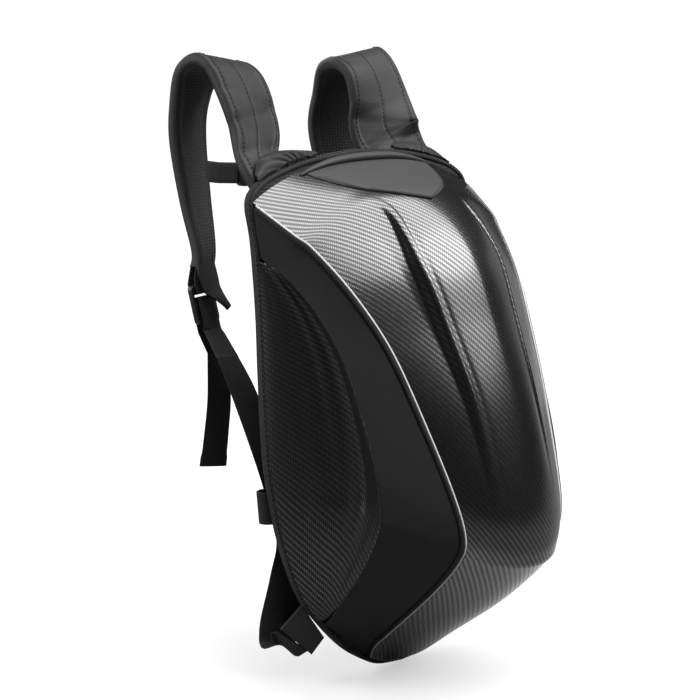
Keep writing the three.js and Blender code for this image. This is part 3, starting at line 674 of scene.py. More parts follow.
tape_section = table(["inset", "depth"], [
    [TAPE_WIDE, -TAPE_PROUD + 0.2], [1.6, -TAPE_PROUD - 0.1], [0.5, -TAPE_PROUD + 0.3],
    [0, -TAPE_PROUD + 1.4], [-0.2, 1.5], [-0.25, 3.5], [-0.2, 5.8], [0, 7.4], [0.6, BACK_THICK],
    [1.8, BACK_THICK + 0.1], [TAPE_WIDE, BACK_THICK],
])
tape_rings = [back_point(*outline_ring(inset).T, depth) for inset, depth in zip(*tape_section.values())]
tape_grid = np.stack(tape_rings, 1)
tape_grid[..., 2] = np.maximum(tape_grid[..., 2], 0.1)
tape = lofted("edge_tape", tape_grid, webbing_look, closed=True)
fit(tape, "webbing", "back_binding")

tape_side = outline_ring(-0.3, TAPE_POINTS)
tape_out = unit(outline_ring(-5, TAPE_POINTS) - outline_ring(5, TAPE_POINTS))
tape_side_line = back_point(*tape_side.T, TAPE_STITCH_DEPTH)
tape_side_out = np.stack([tape_out[:, 0], np.zeros(TAPE_POINTS), tape_out[:, 1]], 1)
tape_back_line = back_point(*outline_ring(TAPE_STITCH_IN, TAPE_POINTS).T, -TAPE_PROUD - 0.05)
tape_back_out = np.tile([0.0, 1.0, 0.0], (TAPE_POINTS, 1))
tape_seams = [(tape_side_line, tape_side_out), (tape_back_line, tape_back_out)]
tape_threads = stitches("edge_tape_stitches", tape_seams, thread_look)
fit(tape_threads, "webbing")

# Back panel: a padded panel under open black mesh, which rests on the wearer's back. It is sewn flat round
# its edge inside the tape and swells towards its middle.
PANEL_MIDDLE = 235
PANEL_SWELL = 4
PANEL_VOXEL = 5 * MM
PANEL_PRESSURE = 4
PANEL_FRAMES = 20
PANEL_MOVE = 5 * MM
PANEL_PINNED = 14
PANEL_UNDER_TAPE = 0.3
MESH_HOLE = 2.8 * MM
panel_levels = table(["share", "depth"], [
    [0.02, BACK_THICK - 0.6], [0.6, BACK_THICK - 0.6], [0.97, BACK_THICK - 0.6], [1, BACK_THICK - 1.5],
    [1, 1.5], [0.985, 0.4], [0.93, 0.2], [0.86, -0.4], [0.7, -1.6], [0.4, -PANEL_SWELL + 2],
    [0.02, -PANEL_SWELL + 2],
])

air_mesh, mesh_tree, mesh_look = finish_of("air_mesh", (0.012, 0.012, 0.013), 0.8)
mesh_place = mesh_tree.nodes.new("ShaderNodeTexCoord")
mesh_holes = mesh_tree.nodes.new("ShaderNodeTexVoronoi")
set_values(mesh_holes, {"Scale": 1 / MESH_HOLE, "Randomness": 0.25})
mesh_split = mesh_tree.nodes.new("ShaderNodeSeparateXYZ")
mesh_flat = mesh_tree.nodes.new("ShaderNodeCombineXYZ")
mesh_tree.links.new(mesh_place.outputs["Object"], mesh_split.inputs[0])
mesh_tree.links.new(mesh_split.outputs["X"], mesh_flat.inputs["X"])
mesh_tree.links.new(mesh_split.outputs["Z"], mesh_flat.inputs["Y"])
mesh_tree.links.new(mesh_flat.outputs[0], mesh_holes.inputs["Vector"])
mesh_holes.voronoi_dimensions = "2D"
mesh_open = reckon(mesh_tree, "MULTIPLY", mesh_holes.outputs["Distance"], 1.5)
shade(mesh_tree, mesh_open, (0.003, 0.003, 0.003), (0.028, 0.028, 0.029), mesh_look.inputs["Base Color"])
relief(mesh_tree, mesh_look, mesh_open, 0.6 * MM)
mesh_look.inputs["Sheen Weight"].default_value = 0.1

panel_ring = outline_ring(PANEL_UNDER_TAPE)
panel_rings = []
for share, depth in zip(*panel_levels.values()):
    at = (panel_ring - (0, PANEL_MIDDLE)) * share + (0, PANEL_MIDDLE)
    panel_rings.append(back_point(at[:, 0], at[:, 1], depth))
back_panel = lofted("back_panel_padding", np.stack(panel_rings), air_mesh)


def swollen(pad, pinned, voxel, pressure, frames, most):
    """A pad remeshed evenly and blown up as cloth, each point moved by most metres at the most. pinned is a
    test for the points that stay where they are sewn."""
    scene = bpy.context.scene
    even = pad.modifiers.new("even", "REMESH")
    even.mode = "VOXEL"
    even.voxel_size = voxel
    even_mesh = bpy.data.meshes.new_from_object(pad.evaluated_get(bpy.context.evaluated_depsgraph_get()))
    pad.modifiers.clear()
    pad.data = even_mesh
    start = np.array([v.co for v in even_mesh.vertices])
    held = pad.vertex_groups.new(name="sewn")
    held.add([k for k, p in enumerate(start) if pinned(p)], 1, "REPLACE")
    cloth = pad.modifiers.new("cloth", "CLOTH")
    cloth.settings.vertex_group_mass = "sewn"
    cloth.settings.use_pressure = True
    cloth.settings.uniform_pressure_force = pressure
    cloth.settings.effector_weights.gravity = 0
    cloth.settings.quality = 5
    cloth.point_cache.frame_start = 1
    cloth.point_cache.frame_end = frames
    for number in range(1, frames + 1):
        scene.frame_set(number)
    blown = pad.evaluated_get(bpy.context.evaluated_depsgraph_get()).to_mesh()
    move = np.array([v.co for v in blown.vertices]) - start
    pad.modifiers.clear()
    pad.vertex_groups.clear()
    far = np.linalg.norm(move, axis=1, keepdims=True)
    held_back = np.minimum(1, most / np.maximum(far, 1e-9))
    even_mesh.vertices.foreach_set("co", (start + move * held_back).ravel())
    even_mesh.shade_smooth()
    even_mesh.update()
    scene.frame_set(1)
    finer = pad.modifiers.new("finer", "SUBSURF")
    finer.levels = finer.render_levels = 1


def sewn_edge(p):
    """True for points of the back panel that are sewn or glued: its front and its edge."""
    x, z = p[0] / MM, p[2] / MM
    depth = BACK_LEAN * z - (p[1] / MM - panel_foot)
    near = np.linalg.norm(panel_ring - (x, z), axis=1).min()
    return depth > BACK_THICK / 2 or near < PANEL_PINNED


swollen(back_panel, sewn_edge, PANEL_VOXEL, PANEL_PRESSURE, PANEL_FRAMES, PANEL_MOVE)
fit(back_panel, "air_mesh", "back_panel")

# Shoulder straps: foam between black nylon outside and mesh inside, with tape sewn round both edges and a
# sewn line down the middle. They rise from the back panel, arch over and taper to their lower ends.
STRAP_THICK = 10
STRAP_STEPS = (190, 60)
STRAP_TAPE, STRAP_TAPE_THICK = 8.5, 0.5
STRAP_ROUND = 4.0
STRAP_LINE_WIDE, STRAP_LINE_DEEP = 1.2, 0.5
STRAP_STITCH_IN = 6.8
STRAP_SWELL = 0.08
STRAP_MESH_IN = 8
STRAP_CREASES = table(["at", "wide", "deep", "lean"], [
    [0.135, 0.009, 1.6, 0.026], [0.165, 0.010, 2.2, -0.022], [0.195, 0.011, 2.0, 0.024],
    [0.225, 0.012, 1.8, -0.018], [0.265, 0.014, 1.6, 0.022], [0.31, 0.014, 1.2, -0.03],
    [0.44, 0.016, 1.2, 0.02], [0.52, 0.016, 1.2, -0.03], [0.60, 0.016, 0.8, 0.02],
])
strap = table(["x", "y", "z", "wide", "turn", "fall"], [
    [-93, 55.6, 410, 60, 0, 0], [-96, 60, 440, 52, 2, 0], [-101, 78, 466, 46, 4, 0], [-88, 97, 498, 60, 6, 0],
    [-86, 113, 528, 63, 2, 0.06], [-87, 128, 546, 63, 0, 0.16], [-90, 146, 552, 63, 4, 0.16],
    [-93, 166, 541, 63, 13, 0.1], [-95, 176, 513, 62, 20, 0], [-95.5, 178, 480, 60, 22, 0],
    [-97.5, 166.5, 426, 46, 20, 0], [-104, 148.5, 382, 31, 18, 0], [-110, 145, 364, 28, 16, 0],
])
# The right strap, written as if it were on the left: its root stands further in and is turned more forward.
right_strap = table(["x", "y", "z", "wide", "turn", "fall"], [
    [-92, 55.6, 410, 62, 0, 0], [-91, 60, 440, 62, 2, 0], [-84, 84, 468, 66, 16, 0],
    [-81, 96, 486, 68, 38, 0], [-85, 107, 512, 64, 16, 0.02], [-86, 121, 540, 63, 3, 0.12],
    [-88, 142, 552, 63, 6, 0.16],
    [-93, 160, 543, 63, 18, 0.1], [-97, 171, 516, 61, 22, 0], [-96.5, 177, 480, 60, 22, 0],
    [-97.5, 166.5, 426, 46, 20, 0], [-104, 148.5, 382, 31, 18, 0], [-110, 145, 364, 28, 16, 0],
])

strap_cloth, strap_tree, strap_look = finish_of("strap_cloth", (0.022, 0.022, 0.023), 0.5)
strap_across, strap_along = cut_place(strap_tree)
strap_warp = reckon(strap_tree, "PINGPONG", strap_across, 0.5 * MM)
strap_weft = reckon(strap_tree, "PINGPONG", strap_along, 0.5 * MM)
strap_weave = reckon(strap_tree, "MULTIPLY", reckon(strap_tree, "ADD", strap_warp, strap_weft), 1 / MM)
strap_height = reckon(strap_tree, "MULTIPLY_ADD", grain(strap_tree, 2.5 * MM), 0.6, strap_weave)
shade(strap_tree, strap_height, (0.007, 0.007, 0.008), (0.023, 0.023, 0.024), strap_look.inputs["Base Color"])
relief(strap_tree, strap_look, strap_height, 0.16 * MM)
set_values(strap_look, {"Specular IOR Level": 0.35, "Sheen Weight": 0.08, "Sheen Roughness": 0.35})


def band_frame(path, width_way):
    """Width and face directions along a path, for a band whose width lies along width_way."""
    run = unit(np.gradient(path, axis=0))
    side = unit(width_way - run * np.sum(width_way * run, axis=1, keepdims=True))
    return side, np.cross(run, side)


strap_t = np.linspace(0, 1, STRAP_STEPS[0] + 1)


def strap_line(rows):
    """The strap's middle line, its width and face directions and its half width."""
    path = points_of(rows, "xyz", strap_t)
    turn = np.radians(smooth(rows["turn"], strap_t))
    way = np.stack([np.cos(turn), np.sin(turn), -smooth(rows["fall"], strap_t)], 1)
    return path, *band_frame(path, way), smooth(rows["wide"], strap_t) / 2


def strap_height_at(x, half, outer):
    """How far the strap's face stands from its middle, at x millimetres across, for each station."""
    inside = half - np.abs(x)
    edge = np.sqrt(np.clip(1 - (1 - np.clip(inside / STRAP_ROUND, 0, 1)) ** 2, 0, 1))
    full = STRAP_THICK / 2 * edge * (1.0 + STRAP_SWELL * (1 - (x / half) ** 2))
    tape_edge = STRAP_TAPE_THICK * ease((STRAP_TAPE + 0.4 - inside) / 0.8) * edge
    if not outer:
        return full + tape_edge
    line = STRAP_LINE_DEEP * bell(x, STRAP_LINE_WIDE) * ease((half - 14) / 6)
    crease = sum(deep * bell(strap_t[:, None] - at - lean * x / half, wide) * (0.4 + 0.6 * (x / half) ** 2)
                 for at, wide, deep, lean in zip(*STRAP_CREASES.values()))
    return full + tape_edge - line - crease * (1 - (x / half) ** 6) * edge


def strap_row(rows, inset):
    """A line along the strap's outer face, an inset from its left edge or, below 0, from its right, and its
    outward directions."""
    path, side, face, half = strap_line(rows)
    x = inset - half if inset > 0 else half + inset if inset < 0 else 0 * half
    height = strap_height_at(x[:, None], half[:, None], True)[:, 0] + 0.1
    return path + x[:, None] * side - height[:, None] * face, -face


for hand, rows in (("left", strap), ("right", right_strap)):
    path, side, face, half = strap_line(rows)
    outer_x = np.linspace(-1, 1, STRAP_STEPS[1] + 1)[None, :] * half[:, None]
    inner_x = outer_x[:, -2:0:-1]
    strap_x = np.concatenate([outer_x, inner_x], 1)
    strap_h = np.concatenate([-strap_height_at(outer_x, half[:, None], True),
                              strap_height_at(inner_x, half[:, None], False)], 1)
    strap_grid = path[:, None] + strap_x[..., None] * side[:, None] + strap_h[..., None] * face[:, None]
    to_hand = np.array([1 if hand == "left" else -1, 1, 1])
    padding = lofted(f"shoulder_strap_padding_{hand}", strap_grid * to_hand, strap_cloth)
    padding.data.materials.append(air_mesh)
    columns = strap_grid.shape[1]
    for part in padding.data.polygons:
        at = [v % columns for v in part.vertices]
        if len(at) == 4 and min(at) > STRAP_STEPS[1] + STRAP_MESH_IN and max(at) < columns - STRAP_MESH_IN:
            part.material_index = 1
    fit(padding, "strap_cloth", f"shoulder_strap_{hand}")
    seams = [strap_row(rows, inset) for inset in (STRAP_STITCH_IN, -STRAP_STITCH_IN, 0)]
    seams = [(line * to_hand, out * to_hand) for line, out in seams]
    threads = stitches(f"strap_stitches_{hand}", seams, thread_look)
    fit(threads, "webbing")

# Yokes: pieces of the straps' cloth gathered over the top edge of the back panel, in front of the roots of
# the shoulder straps, with folds that run together at the end of the top roll.
YOKE_THICK = 2.5
YOKE_FOLDS = 7
YOKE_FOLD_TALL = {"left": 4.5, "right": 1.2}
YOKE_FULL = 2.4
YOKE_EDGE_Z = 440
YOKE_KNOT = np.array([-78, 48, 459])
YOKE_KNOT_WIDE = 14
YOKE_STEPS = (90, 30)
yoke = table(["x", "top_y", "top_z"], [
    [-122, 58, 458], [-108, 69, 470], [-90, 73, 475], [-68, 71, 476], [-50, 58, 475],
])
yoke_t = np.linspace(0, 1, YOKE_STEPS[0] + 1)
yoke_top = points_of(yoke, ("x", "top_y", "top_z"), yoke_t)
upper_edge = outline_line[outline_line[:, 1] > YOKE_EDGE_Z]
yoke_foot_z = np.interp(yoke_top[:, 0], upper_edge[:, 0], upper_edge[:, 1]) + YOKE_THICK + SEWN_GAP
yoke_foot = back_point(yoke_top[:, 0], yoke_foot_z, BACK_THICK * 0.6)
yoke_s = np.linspace(0, 1, YOKE_STEPS[1] + 1)
yoke_grid = yoke_foot[:, None] + (yoke_top - yoke_foot)[:, None] * yoke_s[None, :, None]
from_knot = yoke_grid - YOKE_KNOT
knot_angle = np.arctan2(np.hypot(from_knot[..., 1], from_knot[..., 2]), -from_knot[..., 0])
knot_far = np.linalg.norm(from_knot, axis=-1)
yoke_wave = np.abs(np.sin(YOKE_FOLDS * knot_angle + 0.05 * knot_far)) ** 0.7 - 0.7
yoke_wave = yoke_wave * ease(knot_far / YOKE_KNOT_WIDE)
yoke_full = YOKE_FULL * np.sin(math.pi * yoke_s) * np.sin(math.pi * yoke_t)[:, None]
yoke_out = outward_of(yoke_grid)
yoke_fade = np.sin(math.pi * yoke_t)[:, None] ** 0.5 * (1 - ease(1.5 * yoke_s - 0.5))
for hand, to_hand in (("left", 1), ("right", -1)):
    yoke_rise = YOKE_FOLD_TALL[hand] * yoke_wave * yoke_fade + yoke_full
    yoke_cloth = yoke_grid + yoke_out * yoke_rise[..., None]
    yoke_cloth = yoke_cloth[::to_hand] * np.array([to_hand, 1, 1])
    yoke_piece = sheet_wall(f"yoke_cloth_{hand}", yoke_cloth, YOKE_THICK, strap_cloth, lambda points: points)
    fit(yoke_piece, "air_mesh", f"yoke_{hand}")

# Strap ends: the strap's cloth runs on below its padding as a pointed tongue on the side of the bag.
FLAP_THICK = 2.2
FLAP_FULL = 1.5
flap_edges = table(["left_x", "left_y", "left_z", "right_x", "right_y", "right_z"], [
    [-121.5, 139.5, 373, -95.5, 146.5, 372], [-121.6, 135.5, 358, -95.1, 141.5, 357.6],
    [-118.2, 132, 345.7, -96.1, 137, 348], [-106.9, 128.5, 337.4, -94.6, 132, 339],
    [-95.9, 126.5, 328.6, -91.3, 127.5, 330.3],
])
flap_v = np.linspace(0, 1, 41)
flap_u = np.linspace(0, 1, 15)[:, None, None]
flap_left, flap_right = (points_of(flap_edges, [f"{side}_{axis}" for axis in "xyz"], flap_v)[None]
                         for side in ("left", "right"))
flap_grid = flap_left * (1 - flap_u) + flap_right * flap_u
flap_grid = flap_grid - FLAP_FULL * np.sin(math.pi * flap_u) * np.array([0.3, 0.9, 0])
flap = sheet_wall("strap_flap_left", flap_grid, FLAP_THICK, strap_cloth, lambda points: points)
fit_pair(flap, "strap_cloth")

# Adjusters: a webbing loop at each strap's end carries a plastic ladder-lock buckle. The webbing from the
# lower tab passes round its middle bar and hangs down as a free tail with a folded hem.
WEBBING_WIDE, WEBBING_THICK = 27, 1.6
BUCKLE_WIDE, BUCKLE_TALL, BUCKLE_THICK, BUCKLE_BAR = 36, 36, 5, 7
SLOT_WIDE, SLOT_TALL = 30, 6
BUCKLE_AT = np.array([-113.5, 138, 334.5])
BUCKLE_TURN, BUCKLE_TILT = math.radians(16), math.radians(-14)
BUCKLE_CORNER, SLOT_CORNER, BUCKLE_EDGE = 4, 1.5, 0.9
WEBBING_STEP, LOOP_STEP = 1.6, 1.2
HEM_LONG, HEM_WIDER, HEM_THICKER = 11, 0.05, 0.9
webbing = table(["x", "y", "z", "wide", "width_x", "width_y", "width_z"], [
    [-115.6, 18.6, 40, 38, 0.76, -0.08, -0.65], [-116.8, 25.5, 36.5, 38, 0.72, -0.33, -0.58],
    [-117.5, 30.5, 34.2, 38, 0.68, -0.53, -0.5], [-117.6, 33.2, 35.8, 38, 0.68, -0.55, -0.48],
    [-117.4, 34.6, 40, 38, 0.7, -0.53, -0.46], [-115.5, 35, 57, 38, 0.8, -0.42, -0.38],
    [-110, 33, 96, 34, 0.95, -0.25, -0.12], [-104.5, 34.5, 133, 30, 0.98, -0.12, 0],
    [-112, 49, 187, 27, 0.99, -0.08, 0], [-114.5, 80, 253, 27, 0.98, -0.16, 0],
    [-116, 103, 289, 27, 0.98, 0.12, 0],
])
tail = table(["x", "y", "z", "wide", "width_x", "width_y", "width_z"], [
    [-110, 125, 291, 27, 0.98, 0.2, 0], [-110, 122, 250, 27, 1, -0.06, 0],
    [-112, 124, 215, 27, 0.99, -0.14, 0], [-115, 126, 184, 27, 0.98, -0.2, 0],
])

plastic_look, plastic_tree, plastic = finish_of("buckle_plastic", (0.01, 0.01, 0.011), 0.32)
plastic_grain = grained(plastic_tree, plastic, 0.6 * MM, (0.008, 0.008, 0.009), (0.014, 0.014, 0.015),
                        0.04 * MM)
spread(plastic_tree, plastic_grain, 0.26, 0.42, plastic.inputs["Roughness"])

buckle_turned = Matrix.Rotation(BUCKLE_TURN, 3, "Z") @ Matrix.Rotation(BUCKLE_TILT, 3, "X")


def in_buckle(x, y, z):
    """A point given in the buckle's own frame: x along its width, y through it, z up."""
    return BUCKLE_AT + np.array(buckle_turned @ Vector((x, y, z)))


buckle_across = np.array(buckle_turned @ Vector((1, 0, 0)))
webbing_clear = BUCKLE_THICK / 2 + SEWN_GAP + WEBBING_THICK / 2
slot_middle = BUCKLE_TALL / 2 - BUCKLE_BAR - SLOT_TALL / 2


def over_bar(level, up):
    """The way round a bar of the buckle, from the bag's side to the strap's side."""
    round_way = webbing_clear - BUCKLE_THICK / 2
    corner = [(math.cos(a), math.sin(a)) for a in np.linspace(0, math.pi / 2, 6)]
    half = [(-BUCKLE_THICK / 2 - y * round_way, level + up * z * round_way) for y, z in corner]
    other_half = [(-y, z) for y, z in half[::-1]]
    return [in_buckle(0, y, z) for y, z in half + other_half]


def even_line(points, width, way, step):
    """A line of points with its widths and width directions, set out again in even steps."""
    points, width, way = np.array(points), np.array(width, float), np.array(way)
    long = length_along(points)
    place = np.linspace(0, long[-1], int(long[-1] / step) + 1)
    pick = lambda values: np.interp(place, long, values)
    return (np.stack([pick(points[:, k]) for k in range(3)], 1), pick(width),
            np.stack([pick(way[:, k]) for k in range(3)], 1), place)


def band_grid(path, width, way, thick):
    """Rings of a flat woven band with rounded edges along a path."""
    side, face = band_frame(path, way)
    half_thick = np.broadcast_to(thick, len(path))[:, None] / 2
    u = np.concatenate([np.linspace(-1, 1, 13), np.linspace(1, -1, 13)])
    v = np.concatenate([np.full(13, -1.0), np.full(13, 1.0)])
    v[[0, 12, 13, 25]] *= 0.35
    inset = np.where(np.abs(u) == 1, 0, 0.02)
    across = (np.sign(u) * (np.abs(u) - inset))[None, :] * width[:, None] / 2
    return path[:, None] + across[..., None] * side[:, None] + (v * half_thick)[..., None] * face[:, None]


def rows_line(rows, count):
    """Points, widths and width directions of a band's table."""
    t = np.linspace(0, 1, count)
    way = points_of(rows, ("width_x", "width_y", "width_z"), t)
    return points_of(rows, "xyz", t), smooth(rows["wide"], t), unit(way)


low_bar = -BUCKLE_TALL / 2
below = low_bar - BUCKLE_BAR
at_buckle = [in_buckle(0, -webbing_clear, z) for z in (below, low_bar)]
at_buckle += over_bar(slot_middle - SLOT_TALL / 2, 1)
at_buckle += [in_buckle(0, webbing_clear, z) for z in (low_bar, below)]
up_line, up_width, up_way = rows_line(webbing, 120)
down_line, down_width, down_way = rows_line(tail, 50)
webbing_path, webbing_width, webbing_way, webbing_long = even_line(
    np.concatenate([up_line, at_buckle, down_line]),
    np.concatenate([up_width, np.full(len(at_buckle), WEBBING_WIDE), down_width]),
    np.concatenate([up_way, np.tile(buckle_across, (len(at_buckle), 1)), down_way]), WEBBING_STEP)
hem = ease((webbing_long - webbing_long[-1] + HEM_LONG + 0.6) / 1.2)
webbing_grid = band_grid(webbing_path, webbing_width * (1 + HEM_WIDER * hem), webbing_way,
                         WEBBING_THICK * (1 + HEM_THICKER * hem))
webbing_piece = lofted("adjuster_webbing_band_left", webbing_grid, webbing_look)
fit_pair(webbing_piece, "webbing", "adjuster_webbing")

left_path = strap_line(strap)[0]
strap_end = left_path[-1]
strap_run = unit(left_path[-1] - left_path[-3])
loop_face = unit(np.cross(strap_run, buckle_across))
loop_ends = [strap_end - strap_run * 2 + loop_face * side * STRAP_THICK * 0.3 for side in (1, -1)]
loop_above = [in_buckle(0, side * webbing_clear, BUCKLE_TALL / 2 + SEWN_GAP) for side in (-1, 1)]
loop_bar = over_bar(BUCKLE_TALL / 2 - BUCKLE_BAR, -1)
loop_line = [loop_ends[0], loop_above[0], *loop_bar, loop_above[1], loop_ends[1]]
loop_path, loop_width, loop_way, _ = even_line(
    loop_line, np.full(len(loop_line), WEBBING_WIDE), np.tile(buckle_across, (len(loop_line), 1)), LOOP_STEP)
strap_loop_grid = band_grid(loop_path, loop_width, loop_way, WEBBING_THICK)
strap_loop = lofted("strap_loop_band_left", strap_loop_grid, webbing_look)
fit_pair(strap_loop, "webbing", "strap_loop")


def plate(name, wide, tall, thick, corner, holes, edge):
    """A moulded plate with rounded corners, holes and eased edges, lying in the XZ plane of its own frame. A
    hole is its middle height, width and height."""
    curve = bpy.data.curves.new(name, "CURVE")
    curve.dimensions = "2D"
    curve.fill_mode = "BOTH"
    curve.extrude = (thick / 2 - edge) * MM
    curve.bevel_depth = edge * MM
    curve.bevel_resolution = 3
    curve.offset = -edge * MM
    for middle, hole_wide, hole_tall, hole_corner in [(0, wide, tall, corner), *holes]:
        ring = []
        for turn, (sx, sz) in enumerate(((1, 1), (-1, 1), (-1, -1), (1, -1))):
            centre_x = sx * (hole_wide / 2 - hole_corner)
            centre_z = middle + sz * (hole_tall / 2 - hole_corner)
            for a in np.linspace(turn, turn + 1, 6) * math.pi / 2:
                ring.append((centre_x + hole_corner * math.cos(a), centre_z + hole_corner * math.sin(a)))
        spline = curve.splines.new("POLY")
        spline.use_cyclic_u = True
        spline.points.add(len(ring) - 1)
        for point, (x, z) in zip(spline.points, ring):
            point.co = (x * MM, z * MM, 0, 1)
    holder = in_scene(name, curve)
    flat = bpy.data.meshes.new_from_object(holder.evaluated_get(bpy.context.evaluated_depsgraph_get()))
    bpy.data.objects.remove(holder)
    flat.transform(Matrix.Rotation(math.pi / 2, 4, "X"))
    build = bmesh.new()
    build.from_mesh(flat)
    bmesh.ops.remove_doubles(build, verts=build.verts, dist=1e-6)
    build.to_mesh(flat)
    build.free()
    flat.shade_smooth()
    flat.set_sharp_from_angle(angle=math.radians(40))
    return in_scene(name, flat)


buckle_slots = [(middle, SLOT_WIDE, SLOT_TALL, SLOT_CORNER) for middle in (slot_middle, -slot_middle)]
buckle = plate("buckle_frame_left", BUCKLE_WIDE, BUCKLE_TALL, BUCKLE_THICK, BUCKLE_CORNER, buckle_slots,
               BUCKLE_EDGE)
buckle.data.transform(Matrix.Translation((BUCKLE_AT + (0, panel_foot, 0)) * MM) @ buckle_turned.to_4x4())
buckle.data.materials.append(plastic_look)
fit_pair(buckle, "buckle_plastic", "buckle")

# Anchor tabs: folded tabs of black cloth sewn to the lower corners of the back panel, which hold the lower
# ends of the webbing.
TAB_THICK = 3
tab_sewn = back_point(np.array([-113, -89]), np.array([75, 41.5]), -TAPE_PROUD - SEWN_GAP)
tab_end = np.array([[-132, 18.7, 55.5], [-98, 15, 26]])
tab_u = np.linspace(0, 1, 25)[:, None, None]
tab_v = np.linspace(0, 1, 25)[None, :, None]
tab_grid = (tab_sewn[0] * (1 - tab_v) + tab_end[0] * tab_v) * (1 - tab_u)
tab_grid = tab_grid + (tab_sewn[1] * (1 - tab_v) + tab_end[1] * tab_v) * tab_u
tab_piece = sheet_wall("anchor_tab_cloth_left", tab_grid, TAB_THICK, strap_cloth, lambda points: points)
fit_pair(tab_piece, "strap_cloth", "anchor_tab")

# Chest strap: narrow webbing sewn on to the outer face of each shoulder strap with a bar of stitches, joined
# by a fastened plastic buckle that hangs a little lower.
CHEST_PLACE, CHEST_ON_STRAP, CHEST_PAST, CHEST_SAG, CHEST_WIDE = 0.795, 0.25, 3, 7, 20
CHEST_BUCKLE = {"wide": 44, "tall": 26, "thick": 8}
CHEST_BUCKLE_Y = 192
STRAP_CROWN = 1.06


def strap_at(t):
    """The middle of the strap, its width direction and its width at a share of its length."""
    middle = points_of(strap, "xyz", np.array(t))
    turn = math.radians(smooth(strap["turn"], np.array(t)))
    way = unit(np.array([math.cos(turn), math.sin(turn), -smooth(strap["fall"], np.array(t))]))
    return middle, way, smooth(strap["wide"], np.array(t))


chest_at, chest_way, chest_strap_wide = strap_at(CHEST_PLACE)
chest_up = unit(strap_at(CHEST_PLACE - 0.01)[0] - strap_at(CHEST_PLACE + 0.01)[0])
chest_out = unit(np.cross(chest_up, chest_way))
chest_clear = STRAP_THICK / 2 * STRAP_CROWN + SEWN_GAP + WEBBING_THICK / 2
chest_line = [chest_at + chest_way * s + chest_out * chest_clear
              for s in (-chest_strap_wide * CHEST_ON_STRAP, chest_strap_wide * CHEST_ON_STRAP,
                        chest_strap_wide / 2 + CHEST_PAST)]
chest_low = chest_at[2] - CHEST_SAG
chest_end = np.array([-CHEST_BUCKLE["wide"] / 2 + 1, CHEST_BUCKLE_Y, chest_low])
chest_line += [(chest_line[2] + chest_end) / 2 + (0, 1, -1), chest_end]
chest_ways = [chest_up] * 3 + [np.array([0, 0, 1.0])] * 2
chest_path, chest_width, chest_width_way, _ = even_line(chest_line, np.full(5, CHEST_WIDE), chest_ways,
                                                        WEBBING_STEP)
chest_grid = band_grid(chest_path, chest_width, chest_width_way, WEBBING_THICK)
chest_band = lofted("sternum_band_left", chest_grid, webbing_look)
fit_pair(chest_band, "webbing", "sternum_webbing")

chest_buckle = plate("sternum_buckle_body", **CHEST_BUCKLE, corner=6, holes=[], edge=1.6)
chest_buckle.data.transform(Matrix.Translation((0, (CHEST_BUCKLE_Y + panel_foot) * MM, chest_low * MM)))
chest_buckle.data.materials.append(plastic_look)
fit(chest_buckle, "buckle_plastic", "sternum_buckle")

# Side loops: upright loops of webbing whose front is sewn low on the edge of the back panel.
LOOP_X, LOOP_Z, LOOP_TALL, LOOP_HALF_LONG, LOOP_HALF_DEEP = -133, 166, 28, 11, 8
loop_angle = np.linspace(0, 2 * math.pi, 72, endpoint=False)
loop_section = [(-1, -1), (-1, 1), (1, 1), (1, -1)]
loop_grid = []
for angle in loop_angle:
    ring = []
    for grow, height in loop_section:
        offset = grow * WEBBING_THICK / 2
        for level in np.linspace(-0.5, 0.5, 9) * (1 if grow < 0 else -1):
            if height == grow:
                z = LOOP_Z + level * LOOP_TALL
                point = back_point(LOOP_X + (LOOP_HALF_LONG + offset) * math.cos(angle), z, 0)
                depth = LOOP_HALF_DEEP + WEBBING_THICK / 2 + (LOOP_HALF_DEEP + offset) * math.sin(angle)
                ring.append(point + (0, TAPE_PROUD - SEWN_GAP + depth, 0))
    loop_grid.append(ring)
side_loop = lofted("side_loop_band_left", np.array(loop_grid), webbing_look, closed=True)
fit_pair(side_loop, "webbing", "side_loop")

# Studio: a white floor that runs back out of sight and a wide soft light overhead, with weaker ones from the
# right front, the right, the left rear and the rear. To the camera the floor and the room look brighter than
# they do to the bag, and the floor has a painted glow that only camera rays see. In the bag's reflections the
# floor carries a painted pool of light: it is lighter within FLOOR_NEAR metres of the bag's middle and darker
# beyond FLOOR_FAR.
FLOOR_NEAR, FLOOR_FAR = 0.2, 0.55
FLOOR_HALF = 12
floor_look, floor_tree, floor_shader = finish_of("studio_floor", (0.9, 0.9, 0.9), 0.9)
floor_path = floor_tree.nodes.new("ShaderNodeLightPath")
floor_place = floor_tree.nodes.new("ShaderNodeTexCoord")
floor_far = floor_tree.nodes.new("ShaderNodeVectorMath")
floor_far.operation = "LENGTH"
floor_tree.links.new(floor_place.outputs["Object"], floor_far.inputs[0])
# Painted pool of light round the bag: 1 within FLOOR_NEAR metres of its middle, 0 beyond FLOOR_FAR.
painted_pool = floor_tree.nodes.new("ShaderNodeMapRange")
set_values(painted_pool, {"From Min": FLOOR_NEAR, "From Max": FLOOR_FAR, "To Min": 1, "To Max": 0})
floor_tree.links.new(floor_far.outputs["Value"], painted_pool.inputs["Value"])
# Painted reflection: glossy rays see the floor lighter near the bag than far away; camera rays see it light
# all over.
painted_pool_reflected = reckon(floor_tree, "MULTIPLY", floor_path.outputs["Is Glossy Ray"], painted_pool.outputs["Result"])
painted_floor_light = reckon(floor_tree, "MAXIMUM", floor_path.outputs["Is Camera Ray"], painted_pool_reflected)
shade(floor_tree, painted_floor_light, (0.14, 0.14, 0.14), (0.4, 0.4, 0.4), floor_shader.inputs["Base Color"])
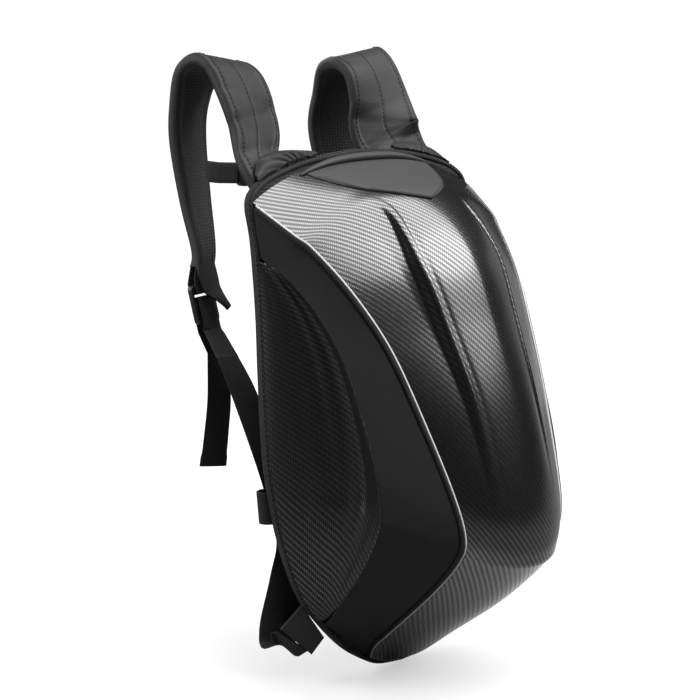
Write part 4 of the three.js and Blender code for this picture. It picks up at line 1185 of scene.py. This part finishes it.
# Painted glow: the floor gives off light to camera rays only.
shade(floor_tree, floor_path.outputs["Is Camera Ray"], (0, 0, 0), (0.55, 0.55, 0.55),
      floor_shader.inputs["Emission Color"])
floor_shader.inputs["Emission Strength"].default_value = 1
floor_mesh = bpy.data.meshes.new("studio_floor")
floor_corners = [(x * FLOOR_HALF, y * FLOOR_HALF, 0) for x, y in ((-1, -1), (1, -1), (1, 1), (-1, 1))]
floor_mesh.from_pydata(floor_corners, [], [(0, 1, 2, 3)])
floor_mesh.materials.append(floor_look)
floor = in_scene("studio_floor", floor_mesh)


def soft_light(name, place, aim, wide, tall, power):
    """A rectangular soft light that looks at a point."""
    light = bpy.data.lights.new(name, "AREA")
    light.shape = "RECTANGLE"
    light.size = wide
    light.size_y = tall
    light.energy = power
    holder = in_scene(name, light)
    holder.location = place
    holder.rotation_euler = (Vector(aim) - Vector(place)).to_track_quat("-Z", "Y").to_euler()


BAG_MIDDLE = (0, 0, 0.28)
soft_light("right front", (0.6, -1.03, 1.37), BAG_MIDDLE, 1.3, 1.1, 10)
soft_light("right", (1.7, 0.1, 0.5), BAG_MIDDLE, 0.8, 0.8, 0.7)
soft_light("left rear", (-1.05, 0.7, 0.85), (-0.1, 0, 0.36), 0.7, 0.7, 10)
soft_light("rear", (0.4, 1.7, 1.0), BAG_MIDDLE, 1.2, 1.0, 14)

overhead = bpy.data.lights.new("overhead", "SUN")
overhead.energy = 4.4
overhead.angle = math.radians(70)
overhead_holder = in_scene("overhead", overhead)
overhead_holder.rotation_euler = Vector((-0.22, 0.33, -0.92)).to_track_quat("-Z", "Y").to_euler()

world = bpy.data.worlds.new("studio_room")
bpy.context.scene.world = world
world.use_nodes = True
room = world.node_tree
room_light = room.nodes["Background"]
room_seen = room.nodes.new("ShaderNodeBackground")
room_mix = room.nodes.new("ShaderNodeMixShader")
room_path = room.nodes.new("ShaderNodeLightPath")
room_light.inputs["Color"].default_value = (1, 1, 1, 1)
room_light.inputs["Strength"].default_value = 0.03
room_seen.inputs["Strength"].default_value = 1.0
room_seen.inputs["Color"].default_value = (1, 1, 1, 1)
room.links.new(room_path.outputs["Is Camera Ray"], room_mix.inputs[0])
room.links.new(room_light.outputs[0], room_mix.inputs[1])
room.links.new(room_seen.outputs[0], room_mix.inputs[2])
room.links.new(room_mix.outputs[0], room.nodes["World Output"].inputs["Surface"])
bpy.context.scene.view_settings.view_transform = "Standard"

# Camera: a long lens at the bag's front left corner, a little above it.
CAMERA_AZIMUTH, CAMERA_ELEVATION, CAMERA_LENS = math.radians(-45), math.radians(10), 110.06
CAMERA_AT = (-1.3883, -1.3387, 0.6326)
camera_data = bpy.data.cameras.new("camera")
camera_data.lens = CAMERA_LENS
camera_data.sensor_width = 36
camera = in_scene("camera", camera_data)
camera.location = CAMERA_AT
camera_way = Vector((-math.sin(CAMERA_AZIMUTH) * math.cos(CAMERA_ELEVATION),
                     math.cos(CAMERA_AZIMUTH) * math.cos(CAMERA_ELEVATION), -math.sin(CAMERA_ELEVATION)))
camera.rotation_euler = camera_way.to_track_quat("-Z", "Y").to_euler()
bpy.context.scene.camera = camera
